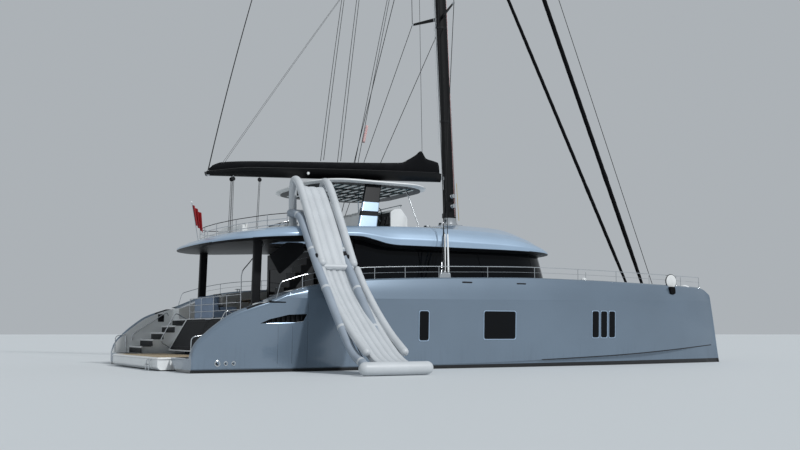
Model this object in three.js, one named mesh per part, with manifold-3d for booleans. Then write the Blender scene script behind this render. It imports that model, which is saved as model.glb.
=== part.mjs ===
// A large sailing catamaran with a flybridge, standing rig, furled headsails and a boarding slide.
// Millimetres. +X points to the bow, +Y to port, +Z up. The origin is amidships on the water's surface.
import * as THREE from 'three';
import { mergeVertices } from 'three/addons/utils/BufferGeometryUtils.js';
import Module from 'manifold-3d';

const wasm = await Module();
wasm.setup();

// Driving dimensions
const GAP = 0.4; // left between pieces that touch
const AFT_X = -11870; // transoms
const BOW_X = 11770; // stems at the water
const STEM_RAKE = 0.165; // how far the stem leans aft for each millimetre of height
const HULL_CENTRE = 4575;
const DECK_Z = 3000;
const FLOOR_Z = 1800; // cockpit and saloon sole
const PLATFORM_Z = 450;
const INNER_Y = 3200; // inboard faces of the hulls
const WELL_Y = 4250; // half-width of the saloon and cockpit well
const WING_INNER_Y = 5180; // inboard faces of the stern wings, beside the stairs
const STEP_COUNT = 5;
const STEP_FIRST_X = -11200;
const STEP_RUN = 440;
const COCKPIT_AFT_X = STEP_FIRST_X + (STEP_COUNT - 1) * STEP_RUN;
const SALOON_AFT_X = -5600;
const WELL_FRONT_X = 3100;
const DECK_FRONT_X = 5500; // where the bridge deck ends and the nets begin
const FLY_FLOOR_Z = 4780;
const ROOF_HALF = 4550;
const MAST_FOOT = { x: 1000, z: 5740 };
const MAST_TOP_Z = 34900;
const MAST_LEAN = 0.0473; // aft, for each millimetre of height
const BOOM_PIVOT_X = 560;
const BOOM_PIVOT_Z = 7620;

// Finishes
const finish = (color, roughness, metalness = 0) => ({ color, roughness, metalness });
const PAINT = finish(0x8d9ba6, 0.3);
const WHITE = finish(0xd9dde0, 0.35);
const DARK = finish(0x15171b, 0.3);
const GLASS = finish(0x0c0f14, 0.08);
const STEEL = finish(0xc4c8cc, 0.2, 0.9);
const CARBON = finish(0x0b0b0d, 0.4);
const CLOTH = finish(0x0f1014, 0.9);
const TEAK = finish(0xb9a98c, 0.7);
const CUSHION = finish(0x7f93ad, 0.85);
const TUBE_FABRIC = finish(0xd3d7da, 0.5);
const BRONZE = finish(0xa9793a, 0.35, 0.9);
const RED = finish(0xc01f26, 0.8);

// Solids
function solid(geometry) {
  const g = geometry.index ? geometry.toNonIndexed() : geometry.clone();
  const bare = new THREE.BufferGeometry().setAttribute('position', g.getAttribute('position'));
  const merged = mergeVertices(bare, 1e-2);
  const kept = [];
  const index = merged.index.array;
  for (let i = 0; i < index.length; i += 3) {
    const [a, b, c] = [index[i], index[i + 1], index[i + 2]];
    if (a !== b && b !== c && a !== c) kept.push(a, b, c);
  }
  const make = (triVerts) => new wasm.Manifold(new wasm.Mesh({
    numProp: 3,
    vertProperties: merged.attributes.position.array,
    triVerts: new Uint32Array(triVerts),
  }));
  const made = make(kept);
  if (made.volume() > 0) return made;
  for (let i = 0; i < kept.length; i += 3) [kept[i], kept[i + 1]] = [kept[i + 1], kept[i]];
  return make(kept);
}

const join = (...solids) => solids.reduce((a, b) => a.add(b));
const cut = (body, ...tools) => tools.reduce((a, b) => a.subtract(b), body);
const mirrored = (body) => body.mirror([0, 1, 0]);

function box(x, y, z) {
  const g = new THREE.BoxGeometry(x[1] - x[0], y[1] - y[0], z[1] - z[0]);
  return solid(g.translate((x[0] + x[1]) / 2, (y[0] + y[1]) / 2, (z[0] + z[1]) / 2));
}

const onSide = (y, side) => y.map((v) => side * v).sort((a, b) => a - b);

// A flat outline of [a, b] pairs carried along one axis.
// Along 'y' the pairs are x and z, along 'x' y and z, along 'z' x and y.
function prism(outline, along, from, to) {
  const shape = new THREE.Shape(outline.map(([a, b]) => new THREE.Vector2(a, b)));
  const g = new THREE.ExtrudeGeometry(shape, { depth: to - from, bevelEnabled: false, curveSegments: 8 });
  const p = g.getAttribute('position');
  for (let i = 0; i < p.count; i++) {
    const [a, b, d] = [p.getX(i), p.getY(i), p.getZ(i) + from];
    if (along === 'y') p.setXYZ(i, a, d, b);
    if (along === 'x') p.setXYZ(i, d, a, b);
    if (along === 'z') p.setXYZ(i, a, b, d);
  }
  return solid(g);
}

// A closed skin through rings of [x, y, z] points. flat is the pair of axes that the end caps are
// triangulated in; where points of an end lie in line, it is a fan about its middle instead.
function skin(rings, flat) {
  const count = rings[0].length;
  const points = rings.flat();
  const faces = [];
  for (let r = 0; r + 1 < rings.length; r++) {
    for (let k = 0; k < count; k++) {
      const a = r * count + k;
      const b = r * count + (k + 1) % count;
      faces.push([a, b, b + count], [a, b + count, a + count]);
    }
  }
  const cap = (ring, base, turned) => {
    const outline = ring.map((p) => new THREE.Vector2(p[flat[0]], p[flat[1]]));
    const backward = THREE.ShapeUtils.area(outline) < 0;
    const order = outline.map((_, i) => (backward ? count - 1 - i : i));
    const put = (f) => faces.push(backward !== turned ? f : f.reverse());
    const triangles = THREE.ShapeUtils.triangulateShape(order.map((i) => outline[i]), []);
    if (triangles.length === count - 2) {
      for (const [a, b, c] of triangles) put([base + order[a], base + order[b], base + order[c]]);
      return;
    }
    const middle = [0, 1, 2].map((k) => ring.reduce((sum, p) => sum + p[k], 0) / count);
    points.push(middle);
    for (let i = 0; i < count; i++) put([points.length - 1, base + order[i], base + order[(i + 1) % count]]);
  };
  cap(rings[0], 0, false);
  cap(rings[rings.length - 1], (rings.length - 1) * count, true);
  const flatPositions = faces.flatMap((f) => f.flatMap((i) => points[i]));
  const g = new THREE.BufferGeometry();
  g.setAttribute('position', new THREE.Float32BufferAttribute(flatPositions, 3));
  return solid(g);
}

// A round bar through points, with a radius at each.
function bar(points, radii, sides = 8) {
  const at = points.map((p) => new THREE.Vector3(...p));
  const radius = (i) => (Array.isArray(radii) ? radii[i] : radii);
  const rings = at.map((p, i) => {
    const before = at[Math.max(i - 1, 0)];
    const after = at[Math.min(i + 1, at.length - 1)];
    const along = after.clone().sub(before).normalize();
    const side = Math.abs(along.z) > 0.9 ? new THREE.Vector3(0, 1, 0) : new THREE.Vector3(0, 0, 1);
    const u = side.clone().cross(along).normalize();
    const v = along.clone().cross(u);
    return Array.from({ length: sides }, (_, k) => {
      const angle = (2 * Math.PI * (k + 0.5)) / sides;
      const q = p.clone().addScaledVector(u, radius(i) * Math.cos(angle));
      return q.addScaledVector(v, radius(i) * Math.sin(angle)).toArray();
    });
  });
  const along = at[at.length - 1].clone().sub(at[0]).toArray().map(Math.abs);
  const longest = along.indexOf(Math.max(...along));
  return skin(rings, [0, 1, 2].filter((k) => k !== longest));
}

// A curve through [key, value] rows that never overshoots them.
function through(rows) {
  const slope = rows.slice(1).map((r, i) => (r[1] - rows[i][1]) / (r[0] - rows[i][0]));
  const tangent = rows.map((_, i) => {
    if (i === 0) return slope[0];
    if (i === rows.length - 1) return slope[i - 1];
    const [a, b] = [slope[i - 1], slope[i]];
    return a * b <= 0 ? 0 : (2 * a * b) / (a + b);
  });
  return (x) => {
    if (x <= rows[0][0]) return rows[0][1];
    if (x >= rows[rows.length - 1][0]) return rows[rows.length - 1][1];
    const i = rows.findIndex((r) => r[0] > x) - 1;
    const h = rows[i + 1][0] - rows[i][0];
    const t = (x - rows[i][0]) / h;
    const [t2, t3] = [t * t, t * t * t];
    return (2 * t3 - 3 * t2 + 1) * rows[i][1] + (t3 - 2 * t2 + t) * h * tangent[i]
      + (3 * t2 - 2 * t3) * rows[i + 1][1] + (t3 - t2) * h * tangent[i + 1];
  };
}

// Lines of the hull, for the half of the boat with y positive. Each row is [x, value].
const sheerZ = through([[AFT_X, 560], [-11800, 800], [-11680, 1000], [-11400, 1270], [-11130, 1500],
  [-10510, 1920], [-9760, 2190], [-9300, 2330], [-8160, 2760], [-6500, 3040], [-4600, 3160], [-2000, 3250],
  [1500, 3320], [4300, 3300], [6400, 3265], [9500, 3220], [10900, 3200], [11500, 3110], [BOW_X, 2880]]);
const wideY = through([[AFT_X, 5450], [-9500, 5640], [-4000, 5720], [2000, 5720], [5500, 5580], [8500, 5230],
  [10600, 4850], [BOW_X, 4580]]);
const creaseZ = through([[AFT_X, 2380], [-3000, 2430], [4300, 2500], [11000, 2600], [BOW_X, 2560]]);
const chineZ = through([[AFT_X, 130], [-3000, 160], [4300, 350], [6400, 440], [11450, 740], [BOW_X, 760]]);
const waterHalf = through([[AFT_X, 760], [-8000, 930], [0, 980], [4000, 860], [8000, 480], [10600, 170],
  [BOW_X, 22]]);
const keelZ = through([[AFT_X, -160], [-9000, -520], [-2000, -820], [4000, -780], [9000, -560],
  [BOW_X, -380]]);
const innerY = through([[AFT_X, INNER_Y], [5000, INNER_Y], [8000, 3560], [10500, 4130], [BOW_X, 4520]]);

// One section of the port hull, from the inboard edge of the deck out over the rail, down the side
// and round the keel.
function hullSection(x) {
  const sheer = sheerZ(x);
  const crease = Math.min(creaseZ(x), sheer - 150);
  const chine = Math.min(chineZ(x), crease - 100);
  const deck = Math.min(DECK_Z, sheer - 60);
  const inner = innerY(x);
  const out = (edge, least) => Math.max(edge, inner + least);
  const wide = out(wideY(x), 40);
  const top = out(wide - 0.28 * (sheer - crease), 36);
  const foot = out(wide - 0.04 * (crease - chine), 38);
  const half = waterHalf(x);
  const keel = keelZ(x);
  const rail = Math.min(200, 0.5 * (top - inner));
  const points = [
    [inner, deck], [top - rail, deck],
    [top - 0.75 * rail, sheer], [top - 0.25 * rail, sheer], [top, sheer - 50],
    [0.5 * (top + wide) + 14, 0.5 * (sheer + crease)], [wide, crease],
    [0.5 * (wide + foot) + 10, 0.5 * (crease + chine)], [foot, chine],
    [Math.min(HULL_CENTRE + half + 40, foot - 3), chine - 50], [Math.min(HULL_CENTRE + half, foot - 6), 0],
  ];
  for (const degrees of [25, 50, 72, 90, 108, 130, 155]) {
    const a = (degrees * Math.PI) / 180;
    points.push([HULL_CENTRE + half * Math.cos(a), keel * Math.sin(a)]);
  }
  points.push([Math.max(HULL_CENTRE - half, inner + 2), 0], [inner, Math.min(900, deck - 100)]);
  return points.map(([y, z]) => [x + stemShift(x, z), y, z]);
}

// How far a point near the bow moves so that the stem leans aft above the water and curves aft below it.
function stemShift(x, z) {
  const share = Math.max(0, (x - 2000) / (BOW_X - 2000)) ** 2;
  return -share * (z >= 0 ? STEM_RAKE * z : 1100 * (z / 380) ** 2);
}

// The profile of the stairs down to the stern and of the cockpit and saloon sole, as seen from the side.
function soleProfile(from) {
  const outline = [[from, PAST.z], [from, PLATFORM_Z]];
  const rise = (FLOOR_Z - PLATFORM_Z) / STEP_COUNT;
  for (let i = 0; i < STEP_COUNT; i++) {
    const x = STEP_FIRST_X + i * STEP_RUN;
    outline.push([x, PLATFORM_Z + i * rise], [x, PLATFORM_Z + (i + 1) * rise]);
  }
  return outline;
}

const STATIONS = [AFT_X, -11800, -11680, -11400, -10980, -10540, -10100, -9660, -8900, -8160, -6500, -4600,
  -2000, 500, 2500, 4300, 6000, 7500, 9000, 10200, 11000, 11450, 11650, BOW_X];
const VENT = [[-9680, 1560], [-9350, 1700], [-8700, 1850], [-8050, 1880], [-8180, 1640], [-8500, 1590]];
const SLIT = [[-9760, 2225], [-8800, 2235], [-8800, 2270], [-9690, 2300]];
const VENT_INNER_Y = 5480;
const SLIT_INNER_Y = 5300;
const PAST = { x: AFT_X - 630, y: 6000, z: 6000 }; // clear of the hull on every side, for its cuts
function hull() {
  const body = skin(STATIONS.map(hullSection), [1, 2]);
  const profile = [...soleProfile(PAST.x), [COCKPIT_AFT_X + 1, PAST.z]];
  const stairs = prism(profile, 'y', INNER_Y - 200, WING_INNER_Y);
  const well = box([COCKPIT_AFT_X, WELL_FRONT_X], [INNER_Y - 200, WELL_Y], [FLOOR_Z, PAST.z]);
  const vent = prism(VENT, 'y', VENT_INNER_Y, PAST.y);
  const slit = prism(SLIT, 'y', SLIT_INNER_Y, PAST.y);
  return cut(body, stairs, well, vent, slit);
}

// The bridge deck between the hulls, with the garage for the tender open at its aft end.
const GARAGE = { x: [-11000, -6700], y: 2700, z: [700, 1620] };
const AFT_FACE = [[-10150, 560], [COCKPIT_AFT_X, FLOOR_Z]]; // the sloping face that the garage door closes
function bridgeDeck() {
  const underside = [[-8600, 560], [-7600, 800], [3300, 850], [4500, 1350], [5300, 2150]];
  const outline = [AFT_FACE[0], ...underside, [DECK_FRONT_X, DECK_Z], [WELL_FRONT_X, DECK_Z],
    [WELL_FRONT_X, FLOOR_Z], AFT_FACE[1]];
  const half = INNER_Y - GAP;
  return cut(prism(outline, 'y', -half, half), box(GARAGE.x, [-GARAGE.y, GARAGE.y], GARAGE.z));
}

// A door that lies on the sloping aft face. share is how far up that face its edges are.
const GARAGE_DOOR = { share: [0.04, 0.96], off: [3, 63], half: 2900 };
function garageDoor() {
  const [low, high] = AFT_FACE;
  const along = new THREE.Vector2(high[0] - low[0], high[1] - low[1]).normalize();
  const out = new THREE.Vector2(-along.y, along.x);
  const at = (share, off) => [low[0] + share * (high[0] - low[0]) + out.x * off,
    low[1] + share * (high[1] - low[1]) + out.y * off];
  const { share: [foot, head], off: [back, front], half } = GARAGE_DOOR;
  return prism([at(foot, back), at(head, back), at(head, front), at(foot, front)], 'y', -half, half);
}

// Outline of the deckhouse in plan: straight sides with a full, rounded front and, on the roof,
// a rounded back.
const FRONT_X = 1200;
const ROUND = 2 / 2.5; // power that squares the arc a little
function frontArc(half, reach, count) {
  return Array.from({ length: count + 1 }, (_, i) => {
    const a = -Math.PI / 2 + (Math.PI * i) / count;
    const across = Math.sign(Math.sin(a)) * Math.abs(Math.sin(a)) ** ROUND;
    return [FRONT_X + reach * Math.cos(a) ** ROUND, half * across];
  });
}

// A wall that follows the front arc and both sides, as an open band between two outlines, leaning in
// towards the top.
const GLASS_FOOT = { half: 4400, reach: 3000, z: DECK_Z + 2 * GAP };
const GLASS_HEAD = { half: 4090, reach: 2560, z: 4650 }; // runs up into the roof, which trims it
const ARC_STEPS = 14;
const ABOVE_BROW = [[2400, 5000], [-5000, 5000], [4470, 5000]]; // the wall ends below this at the front
function band(offset, thickness, foot, head, aftX) {
  const plan = (edge, inset) => {
    const half = edge.half - inset;
    return [[aftX, -half], ...frontArc(half, edge.reach - inset, ARC_STEPS), [aftX, half]];
  };
  const ring = (edge) => [...plan(edge, offset), ...plan(edge, offset + thickness).reverse()]
    .map(([x, y]) => [x, y, edge.z]);
  return cut(skin([ring(foot), ring(head)], [0, 1]), box(...ABOVE_BROW));
}

function saloonFrame() {
  const wall = band(60, 70, GLASS_FOOT, GLASS_HEAD, SALOON_AFT_X);
  const height = [DECK_Z + 180, 4150];
  const beside = [[-5300, -3500], [-3300, -1500], [-1300, 500], [700, 1900]]
    .map((x) => box(x, [-PAST.y, PAST.y], height));
  const ahead = [[-2500, -1100], [-900, 900], [1100, 2500]]
    .map((y) => box([3000, 6000], y, height));
  return cut(wall, ...beside, ...ahead);
}

const saloonGlass = () => band(0, 30, GLASS_FOOT, GLASS_HEAD, SALOON_AFT_X);

// The saloon's aft wall, with a window each side and the way through in the middle.
const DOOR = { half: 900, head: 3900 };
const AFT_WALL = { x: [SALOON_AFT_X - 90, SALOON_AFT_X - 10], half: 4080, head: 4650 };
const AFT_WINDOW = { y: [1050, 3850], z: [2350, 3900] };
function saloonAftWall() {
  const wall = box(AFT_WALL.x, [-AFT_WALL.half, AFT_WALL.half], [FLOOR_Z + 2 * GAP, AFT_WALL.head]);
  const across = [SALOON_AFT_X - 500, SALOON_AFT_X + 500];
  const doorway = box(across, [-DOOR.half, DOOR.half], [FLOOR_Z - 100, DOOR.head]);
  const windows = [1, -1].map((side) => box(across, onSide(AFT_WINDOW.y, side), AFT_WINDOW.z));
  return cut(wall, doorway, ...windows);
}

function aftWindow(side) {
  const y = onSide(AFT_WINDOW.y, side);
  return box([SALOON_AFT_X - 65, SALOON_AFT_X - 35], [y[0] + GAP, y[1] - GAP],
    [AFT_WINDOW.z[0] + GAP, AFT_WINDOW.z[1] - GAP]);
}

// A framed glass door that slides to port outside the wall.
const saloonDoor = () => box([AFT_WALL.x[0] - 66, AFT_WALL.x[0] - 10], [-DOOR.half - 60, DOOR.half + 60],
  [FLOOR_Z + 12, DOOR.head + 60]);

// Roof, flybridge and brow as one moulding
const ROOF_BACK_X = -7400;
const ROOF_REACH = { front: 3050, back: 3000 }; // of the rounded ends
const roofBottomZ = through([[-10400, 4380], [-7450, 4520], [-5600, 4590], [-5000, 4490], [-4400, 4340],
  [-3900, 4300], [3000, 4330], [4250, 4390]]);
const roofEdgeZ = through([[-10400, 4640], [-9800, 4760], [-7450, 4990], [-5700, 5070], [-2800, 5150],
  [0, 5080], [1200, 4980], [2400, 4780], [3400, 4600], [4250, 4480]]);
const roofSpineZ = through([[-10400, 4700], [-1300, 5500], [0, 5660], [1500, 5660], [2600, 5420],
  [3500, 5020], [4250, 4520]]);

function roofOutline() {
  const front = frontArc(ROOF_HALF, ROOF_REACH.front, ARC_STEPS);
  const back = frontArc(ROOF_HALF, ROOF_REACH.back, ARC_STEPS)
    .map(([x, y]) => [ROOF_BACK_X - (x - FRONT_X), -y]);
  const side = (y, from, to) => [1, 2, 3, 4, 5, 6].map((i) => [from + ((to - from) * i) / 7, y]);
  return [...front, ...side(ROOF_HALF, FRONT_X, ROOF_BACK_X), ...back,
    ...side(-ROOF_HALF, ROOF_BACK_X, FRONT_X)];
}

// One ring of the roof, drawn in from its outline. An inset up to 1 is a share of the way to the spine,
// and a larger one is in millimetres. height is told the x of the outline and of the point drawn in.
function roofRing(inset, height) {
  return roofOutline().map(([x, y]) => {
    const spine = Math.min(Math.max(x, ROOF_BACK_X), FRONT_X);
    const reach = Math.hypot(x - spine, y);
    const share = inset <= 1 ? inset : Math.min(inset / reach, 0.99);
    const at = [x + (spine - x) * share, y * (1 - share)];
    return [at[0], at[1], height({ edge: x, inner: at[0] })];
  });
}

function coachroof() {
  const between = (low, high, share) => low + share * (high - low);
  const spineward = (share) => ({ inner }) => between(roofEdgeZ(inner), roofSpineZ(inner), share);
  const rimward = (share) => ({ edge }) => between(roofBottomZ(edge), roofEdgeZ(edge), share);
  const rings = [
    roofRing(0.99, ({ inner }) => roofBottomZ(inner)),
    roofRing(260, rimward(0)),
    roofRing(0, rimward(0.12)),
    roofRing(0, rimward(0.4)),
    roofRing(150, rimward(0.75)),
    roofRing(380, rimward(0.95)),
    roofRing(520, (place) => Math.max(roofEdgeZ(place.edge), spineward(0.1)(place))),
    roofRing(0.35, spineward(0.62)),
    roofRing(0.6, spineward(0.88)),
    roofRing(0.99, spineward(1)),
  ];
  const half = ROOF_HALF - 820;
  const well = [[-1300, -half], [-1300, half], [-7400, half], [-8800, half - 560], [-9450, half - 1700],
    [-9650, 0], [-9450, 1700 - half], [-8800, 560 - half], [-7400, -half]];
  const aboveRoof = 7000;
  const belowRoof = 4000;
  const ceiling = box([SALOON_AFT_X + 300, -1700], [-3600, 3600], [belowRoof, 4540]);
  const dome = box([-1700, 2700], [-2900, 2900], [belowRoof, 4700]);
  const step = box([550, 1450], [-420, 420], [5300, MAST_FOOT.z - GAP]);
  const stairway = box([STAIR_TOP_X - 1750, STAIR_TOP_X + 10], [STAIR.y[0] - 60, STAIR.y[1] + 60],
    [belowRoof, aboveRoof]);
  const flybridge = prism(well, 'z', FLY_FLOOR_Z, aboveRoof);
  return cut(join(skin(rings, [0, 1]), step), flybridge, ceiling, dome, stairway);
}

// Hardtop over the helm, on two raked legs and two thin front struts.
const HARDTOP = { x: [-6350, -1150], half: 2850, z: [6860, 7030] };
const HARDTOP_LEG = {
  foot: { x: [-5050, -4250], y: [3100, 3240] },
  head: { x: [-4350, -3700], y: [2480, 2620] },
};
const HARDTOP_STRUT = { foot: [-1900, 2750], head: [-2350, 2100], radius: 28 };
function hardtop() {
  const outline = (inset) => {
    const [aft, fore] = [HARDTOP.x[0] + inset, HARDTOP.x[1] - inset];
    const half = HARDTOP.half - inset;
    const port = [[fore, half - 1300], [fore - 420, half - 500], [fore - 1150, half],
      [aft + 1000, half], [aft + 350, half - 400], [aft, half - 1200]];
    return [[fore, 1300 - half], ...port, ...port.slice(1).reverse().map(([x, y]) => [x, -y])];
  };
  const ring = (inset, z) => outline(inset).map(([x, y]) => [x, y, z]);
  return skin([ring(160, HARDTOP.z[0]), ring(0, HARDTOP.z[0] + 60), ring(60, HARDTOP.z[1] - 30),
    ring(500, HARDTOP.z[1] + 30)], [0, 1]);
}

function hardtopLeg(side) {
  const ring = ({ x, y }, z) => [[x[0], y[0]], [x[1], y[0]], [x[1], y[1]], [x[0], y[1]]]
    .map(([a, b]) => [a, side * b, z]);
  const { foot, head } = HARDTOP_LEG;
  return skin([ring(foot, FLY_FLOOR_Z + GAP), ring(head, HARDTOP.z[0] - GAP)], [0, 1]);
}

function hardtopStrut(side) {
  const { foot, head, radius } = HARDTOP_STRUT;
  const ring = ([x, y], z) => Array.from({ length: 8 }, (_, i) => {
    const a = (2 * Math.PI * i) / 8;
    return [x + radius * Math.cos(a), side * y + radius * Math.sin(a), z];
  });
  return skin([ring(foot, FLY_FLOOR_Z + GAP), ring(head, HARDTOP.z[0] - GAP)], [0, 1]);
}

// Flybridge fittings
const HELM = { x: -3300, y: -1500, z: FLY_FLOOR_Z + 980, radius: 380 };
function helmConsole() {
  const desk = prism([[-3180, FLY_FLOOR_Z + GAP], [-2450, FLY_FLOOR_Z + GAP], [-2450, 5700], [-2750, 6050],
    [-3020, 6000], [-3180, 5900]], 'y', -2400, -300);
  return join(desk, bar([[HELM.x + 40, HELM.y, HELM.z], [-3100, HELM.y, HELM.z]], 45, 12));
}

function helmWheel() {
  const rim = solid(new THREE.TorusGeometry(HELM.radius, 20, 8, 24).rotateY(Math.PI / 2));
  const hub = solid(new THREE.CylinderGeometry(55, 55, 60, 12).rotateZ(Math.PI / 2));
  const spokes = [0, 1, 2].map((i) => {
    const g = new THREE.BoxGeometry(18, 40, HELM.radius - 30).translate(0, 0, (HELM.radius - 10) / 2);
    return solid(g.rotateX((i * 2 * Math.PI) / 3));
  });
  return join(rim, hub, ...spokes).translate([HELM.x, HELM.y, HELM.z]);
}

// A seat as a plinth on the floor with a raised back along its aft edge.
function bench({ x, y, floor, seat, back, depth }) {
  return join(box(x, y, [floor + GAP, seat]), box([x[0], x[0] + depth], y, [seat - 50, back]));
}

const HELM_SEAT = {
  x: [-4450, -3850], y: [-2300, -500], floor: FLY_FLOOR_Z, seat: 5400, back: 5850, depth: 160,
};
const FLY_SOFA = {
  x: [-8200, -7300], y: [300, 3200], floor: FLY_FLOOR_Z, seat: 5150, back: 5500, depth: 260,
};
const COCKPIT_SOFA = {
  x: [-9250, -8250], y: [400, 2750], floor: FLOOR_Z, seat: 2230, back: 2680, depth: 230,
};
const flybridgeBar = () => box([-6100, -5500], [1200, 3000], [FLY_FLOOR_Z + GAP, 5700]);

// Cockpit fittings
const POST = { foot: [-9050, -8750], head: [-8970, -8670], y: [2955, 3145], top: 4700 };
function cockpitPost(side) {
  const bottom = FLOOR_Z + 2 * GAP;
  const outline = [[POST.foot[0], bottom], [POST.foot[1], bottom], [POST.head[1], POST.top],
    [POST.head[0], POST.top]];
  return prism(outline, 'y', ...onSide(POST.y, side));
}

// Stairs from the cockpit up through the roof to the flybridge.
const STAIR = { foot: -8350, run: 220, risers: 11, y: [-2700, -1850], depth: 260 };
const STAIR_TOP_X = STAIR.foot + (STAIR.risers - 1) * STAIR.run;
function flybridgeStairs() {
  const rise = (FLY_FLOOR_Z - FLOOR_Z) / STAIR.risers;
  const outline = [[STAIR.foot, FLOOR_Z + GAP]];
  for (let i = 0; i < STAIR.risers - 1; i++) {
    const x = STAIR.foot + i * STAIR.run;
    outline.push([x, FLOOR_Z + (i + 1) * rise], [x + STAIR.run, FLOOR_Z + (i + 1) * rise]);
  }
  outline.push([STAIR_TOP_X, FLY_FLOOR_Z - rise - STAIR.depth], [STAIR.foot + STAIR.depth, FLOOR_Z + GAP]);
  return prism(outline, 'y', STAIR.y[0], STAIR.y[1]);
}

function cockpitTable() {
  const top = box([-7700, -6900], [700, 2400], [2480, 2540]);
  const pillar = box([-7400, -7200], [1300, 1800], [FLOOR_Z + GAP, 2500]);
  return join(top, pillar);
}

// Rails: posts joined by bars along their heads and middles. Their feet start inside what they stand on,
// which trims them.
const SUNK = 60;
const RAIL_BAR = 17;
function railing(feet, height, radius, shares = [1, 0.55]) {
  const posts = feet.map(([x, y, z]) => bar([[x, y, z + GAP], [x, y, z + height]], radius * 1.15, 6));
  const along = (share) => feet.map(([x, y, z]) => [x, y, z + height * share - radius * 0.6]);
  return join(...posts, ...shares.map((share) => bar(along(share), radius, 6)));
}

const RAIL_FOOT_X = [-8150, -7300, -5800, -4200, -2600, -1000, 600, 2200, 3800, 5400, 7000, 8600, 9800,
  10700];
const railY = (x) => wideY(x) - 0.28 * (sheerZ(x) - creaseZ(x)) - 100;
const guardRail = () => railing(RAIL_FOOT_X.map((x) => [x, railY(x), sheerZ(x) - SUNK]), 460, RAIL_BAR);

// Rail round the back of the flybridge, standing on its rim, open on the starboard side where the slide
// comes aboard.
function flybridgeRail() {
  const corners = [[-5200, 3910], [-6300, 3910], [-7400, 3910], [-8600, 3340], [-9300, 2100], [-9560, 700],
    [-9560, -700], [-9300, -2100], [-8600, -3340], [-8000, -3700]];
  return railing(corners.map(([x, y]) => [x, y, roofEdgeZ(x - 220) - SUNK]), 560, RAIL_BAR);
}

function cockpitRail() {
  const feet = [-2950, -1475, 0, 1475, 2950].map((y) => [COCKPIT_AFT_X + 60, y, FLOOR_Z]);
  return railing(feet, 800, 18, [1, 0.66, 0.33]);
}

// Swim platform between the hulls, with its ladder on the aft edge.
const PLATFORM = { x: [-12300, -10300], half: 3150, z: [30, PLATFORM_Z] };
function swimPlatform() {
  const deck = prism([[PLATFORM.x[0], 120], [-12200, PLATFORM.z[0]], [-11300, 60], [PLATFORM.x[1], 260],
    [PLATFORM.x[1], PLATFORM.z[1]], [PLATFORM.x[0], PLATFORM.z[1]]], 'y', -PLATFORM.half, PLATFORM.half);
  const arms = [-2300, 2300].map((y) => box([-10500, -8700], [y - 90, y + 90], [280, PLATFORM.z[1] - 20]));
  return join(deck, ...arms);
}

const LADDER = { y: [-2500, -2100], bar: 18, rung: 16, lean: 0.06 };
function swimLadder() {
  const x = PLATFORM.x[0];
  const top = x - GAP - LADDER.bar - 1;
  const stile = (y) => [[top, y, 380], [x - 90, y, 330], [x - 150, y, -700]];
  const sides = LADDER.y.map((y) => bar(stile(y), LADDER.bar, 6));
  const rungs = [200, -80, -360, -620].map((z) => {
    const rungX = x - 128 + z * LADDER.lean;
    return bar(LADDER.y.map((y) => [rungX, y, z]), LADDER.rung, 6);
  });
  return join(...sides, ...rungs);
}

// Underwater gear
function stubKeel() {
  const ring = (fore, aft, half, z) => {
    const middle = (fore + aft) / 2 + 400;
    const side = [[aft + 500, half * 0.8], [middle, half], [fore - 350, half * 0.75]];
    return [[aft, 0], ...side, [fore, 0], ...side.slice().reverse().map(([x, y]) => [x, -y])]
      .map(([x, y]) => [x, HULL_CENTRE + y, z]);
  };
  return skin([ring(2400, -2700, 260, -600), ring(2000, -2200, 200, -1900)], [0, 1]);
}

const RUDDER = { x: -10650, top: -330, foot: -1650, stock: 45 };
function rudder() {
  const ring = (fore, aft, half, z) => {
    const side = [[aft, 6], [fore - 250, half], [fore, half * 0.4]];
    return [...side, ...side.slice().reverse().map(([x, y]) => [x, -y])]
      .map(([x, y]) => [x, HULL_CENTRE + y, z]);
  };
  const head = ring(-10480, -11250, 70, RUDDER.top - 60);
  const blade = skin([head, ring(-10500, -11080, 45, RUDDER.foot)], [0, 1]);
  const stockZ = [RUDDER.top - 100, keelZ(RUDDER.x + 60) - 6];
  return join(blade, bar(stockZ.map((z) => [RUDDER.x, HULL_CENTRE, z]), RUDDER.stock, 12));
}

const SHAFT = { y: HULL_CENTRE, from: [-7200, -700], to: [-9560, -980] };
function shaftLine() {
  const at = (share) => [SHAFT.from[0] + share * (SHAFT.to[0] - SHAFT.from[0]), SHAFT.y,
    SHAFT.from[1] + share * (SHAFT.to[1] - SHAFT.from[1])];
  const rod = bar([at(0), at(1)], 42, 12);
  const barrel = bar([at(0.86), at(0.95)], 80, 12);
  const strut = box([-9430, -9230], [SHAFT.y - 25, SHAFT.y + 25], [-940, -400]);
  return join(rod, barrel, strut);
}

const PROP = { x: -9700, z: -996, blades: 4 };
function propeller() {
  const axis = new THREE.Vector3(SHAFT.to[0] - SHAFT.from[0], 0, SHAFT.to[1] - SHAFT.from[1]).normalize();
  const tilt = Math.atan2(-axis.z, -axis.x);
  const profile = [[0, -110], [70, -110], [85, -40], [80, 40], [55, 120], [0, 150]]
    .map(([r, h]) => new THREE.Vector2(r, h));
  const hub = solid(new THREE.LatheGeometry(profile, 16).rotateZ(Math.PI / 2));
  const blades = Array.from({ length: PROP.blades }, (_, i) => {
    const g = new THREE.SphereGeometry(1, 12, 8).scale(14, 105, 160);
    return solid(g.rotateZ(0.55).translate(0, 0, 200).rotateX((i * 2 * Math.PI) / PROP.blades));
  });
  return join(hub, ...blades).rotate([0, (-tilt * 180) / Math.PI, 0]).translate([PROP.x, SHAFT.y, PROP.z]);
}

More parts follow.
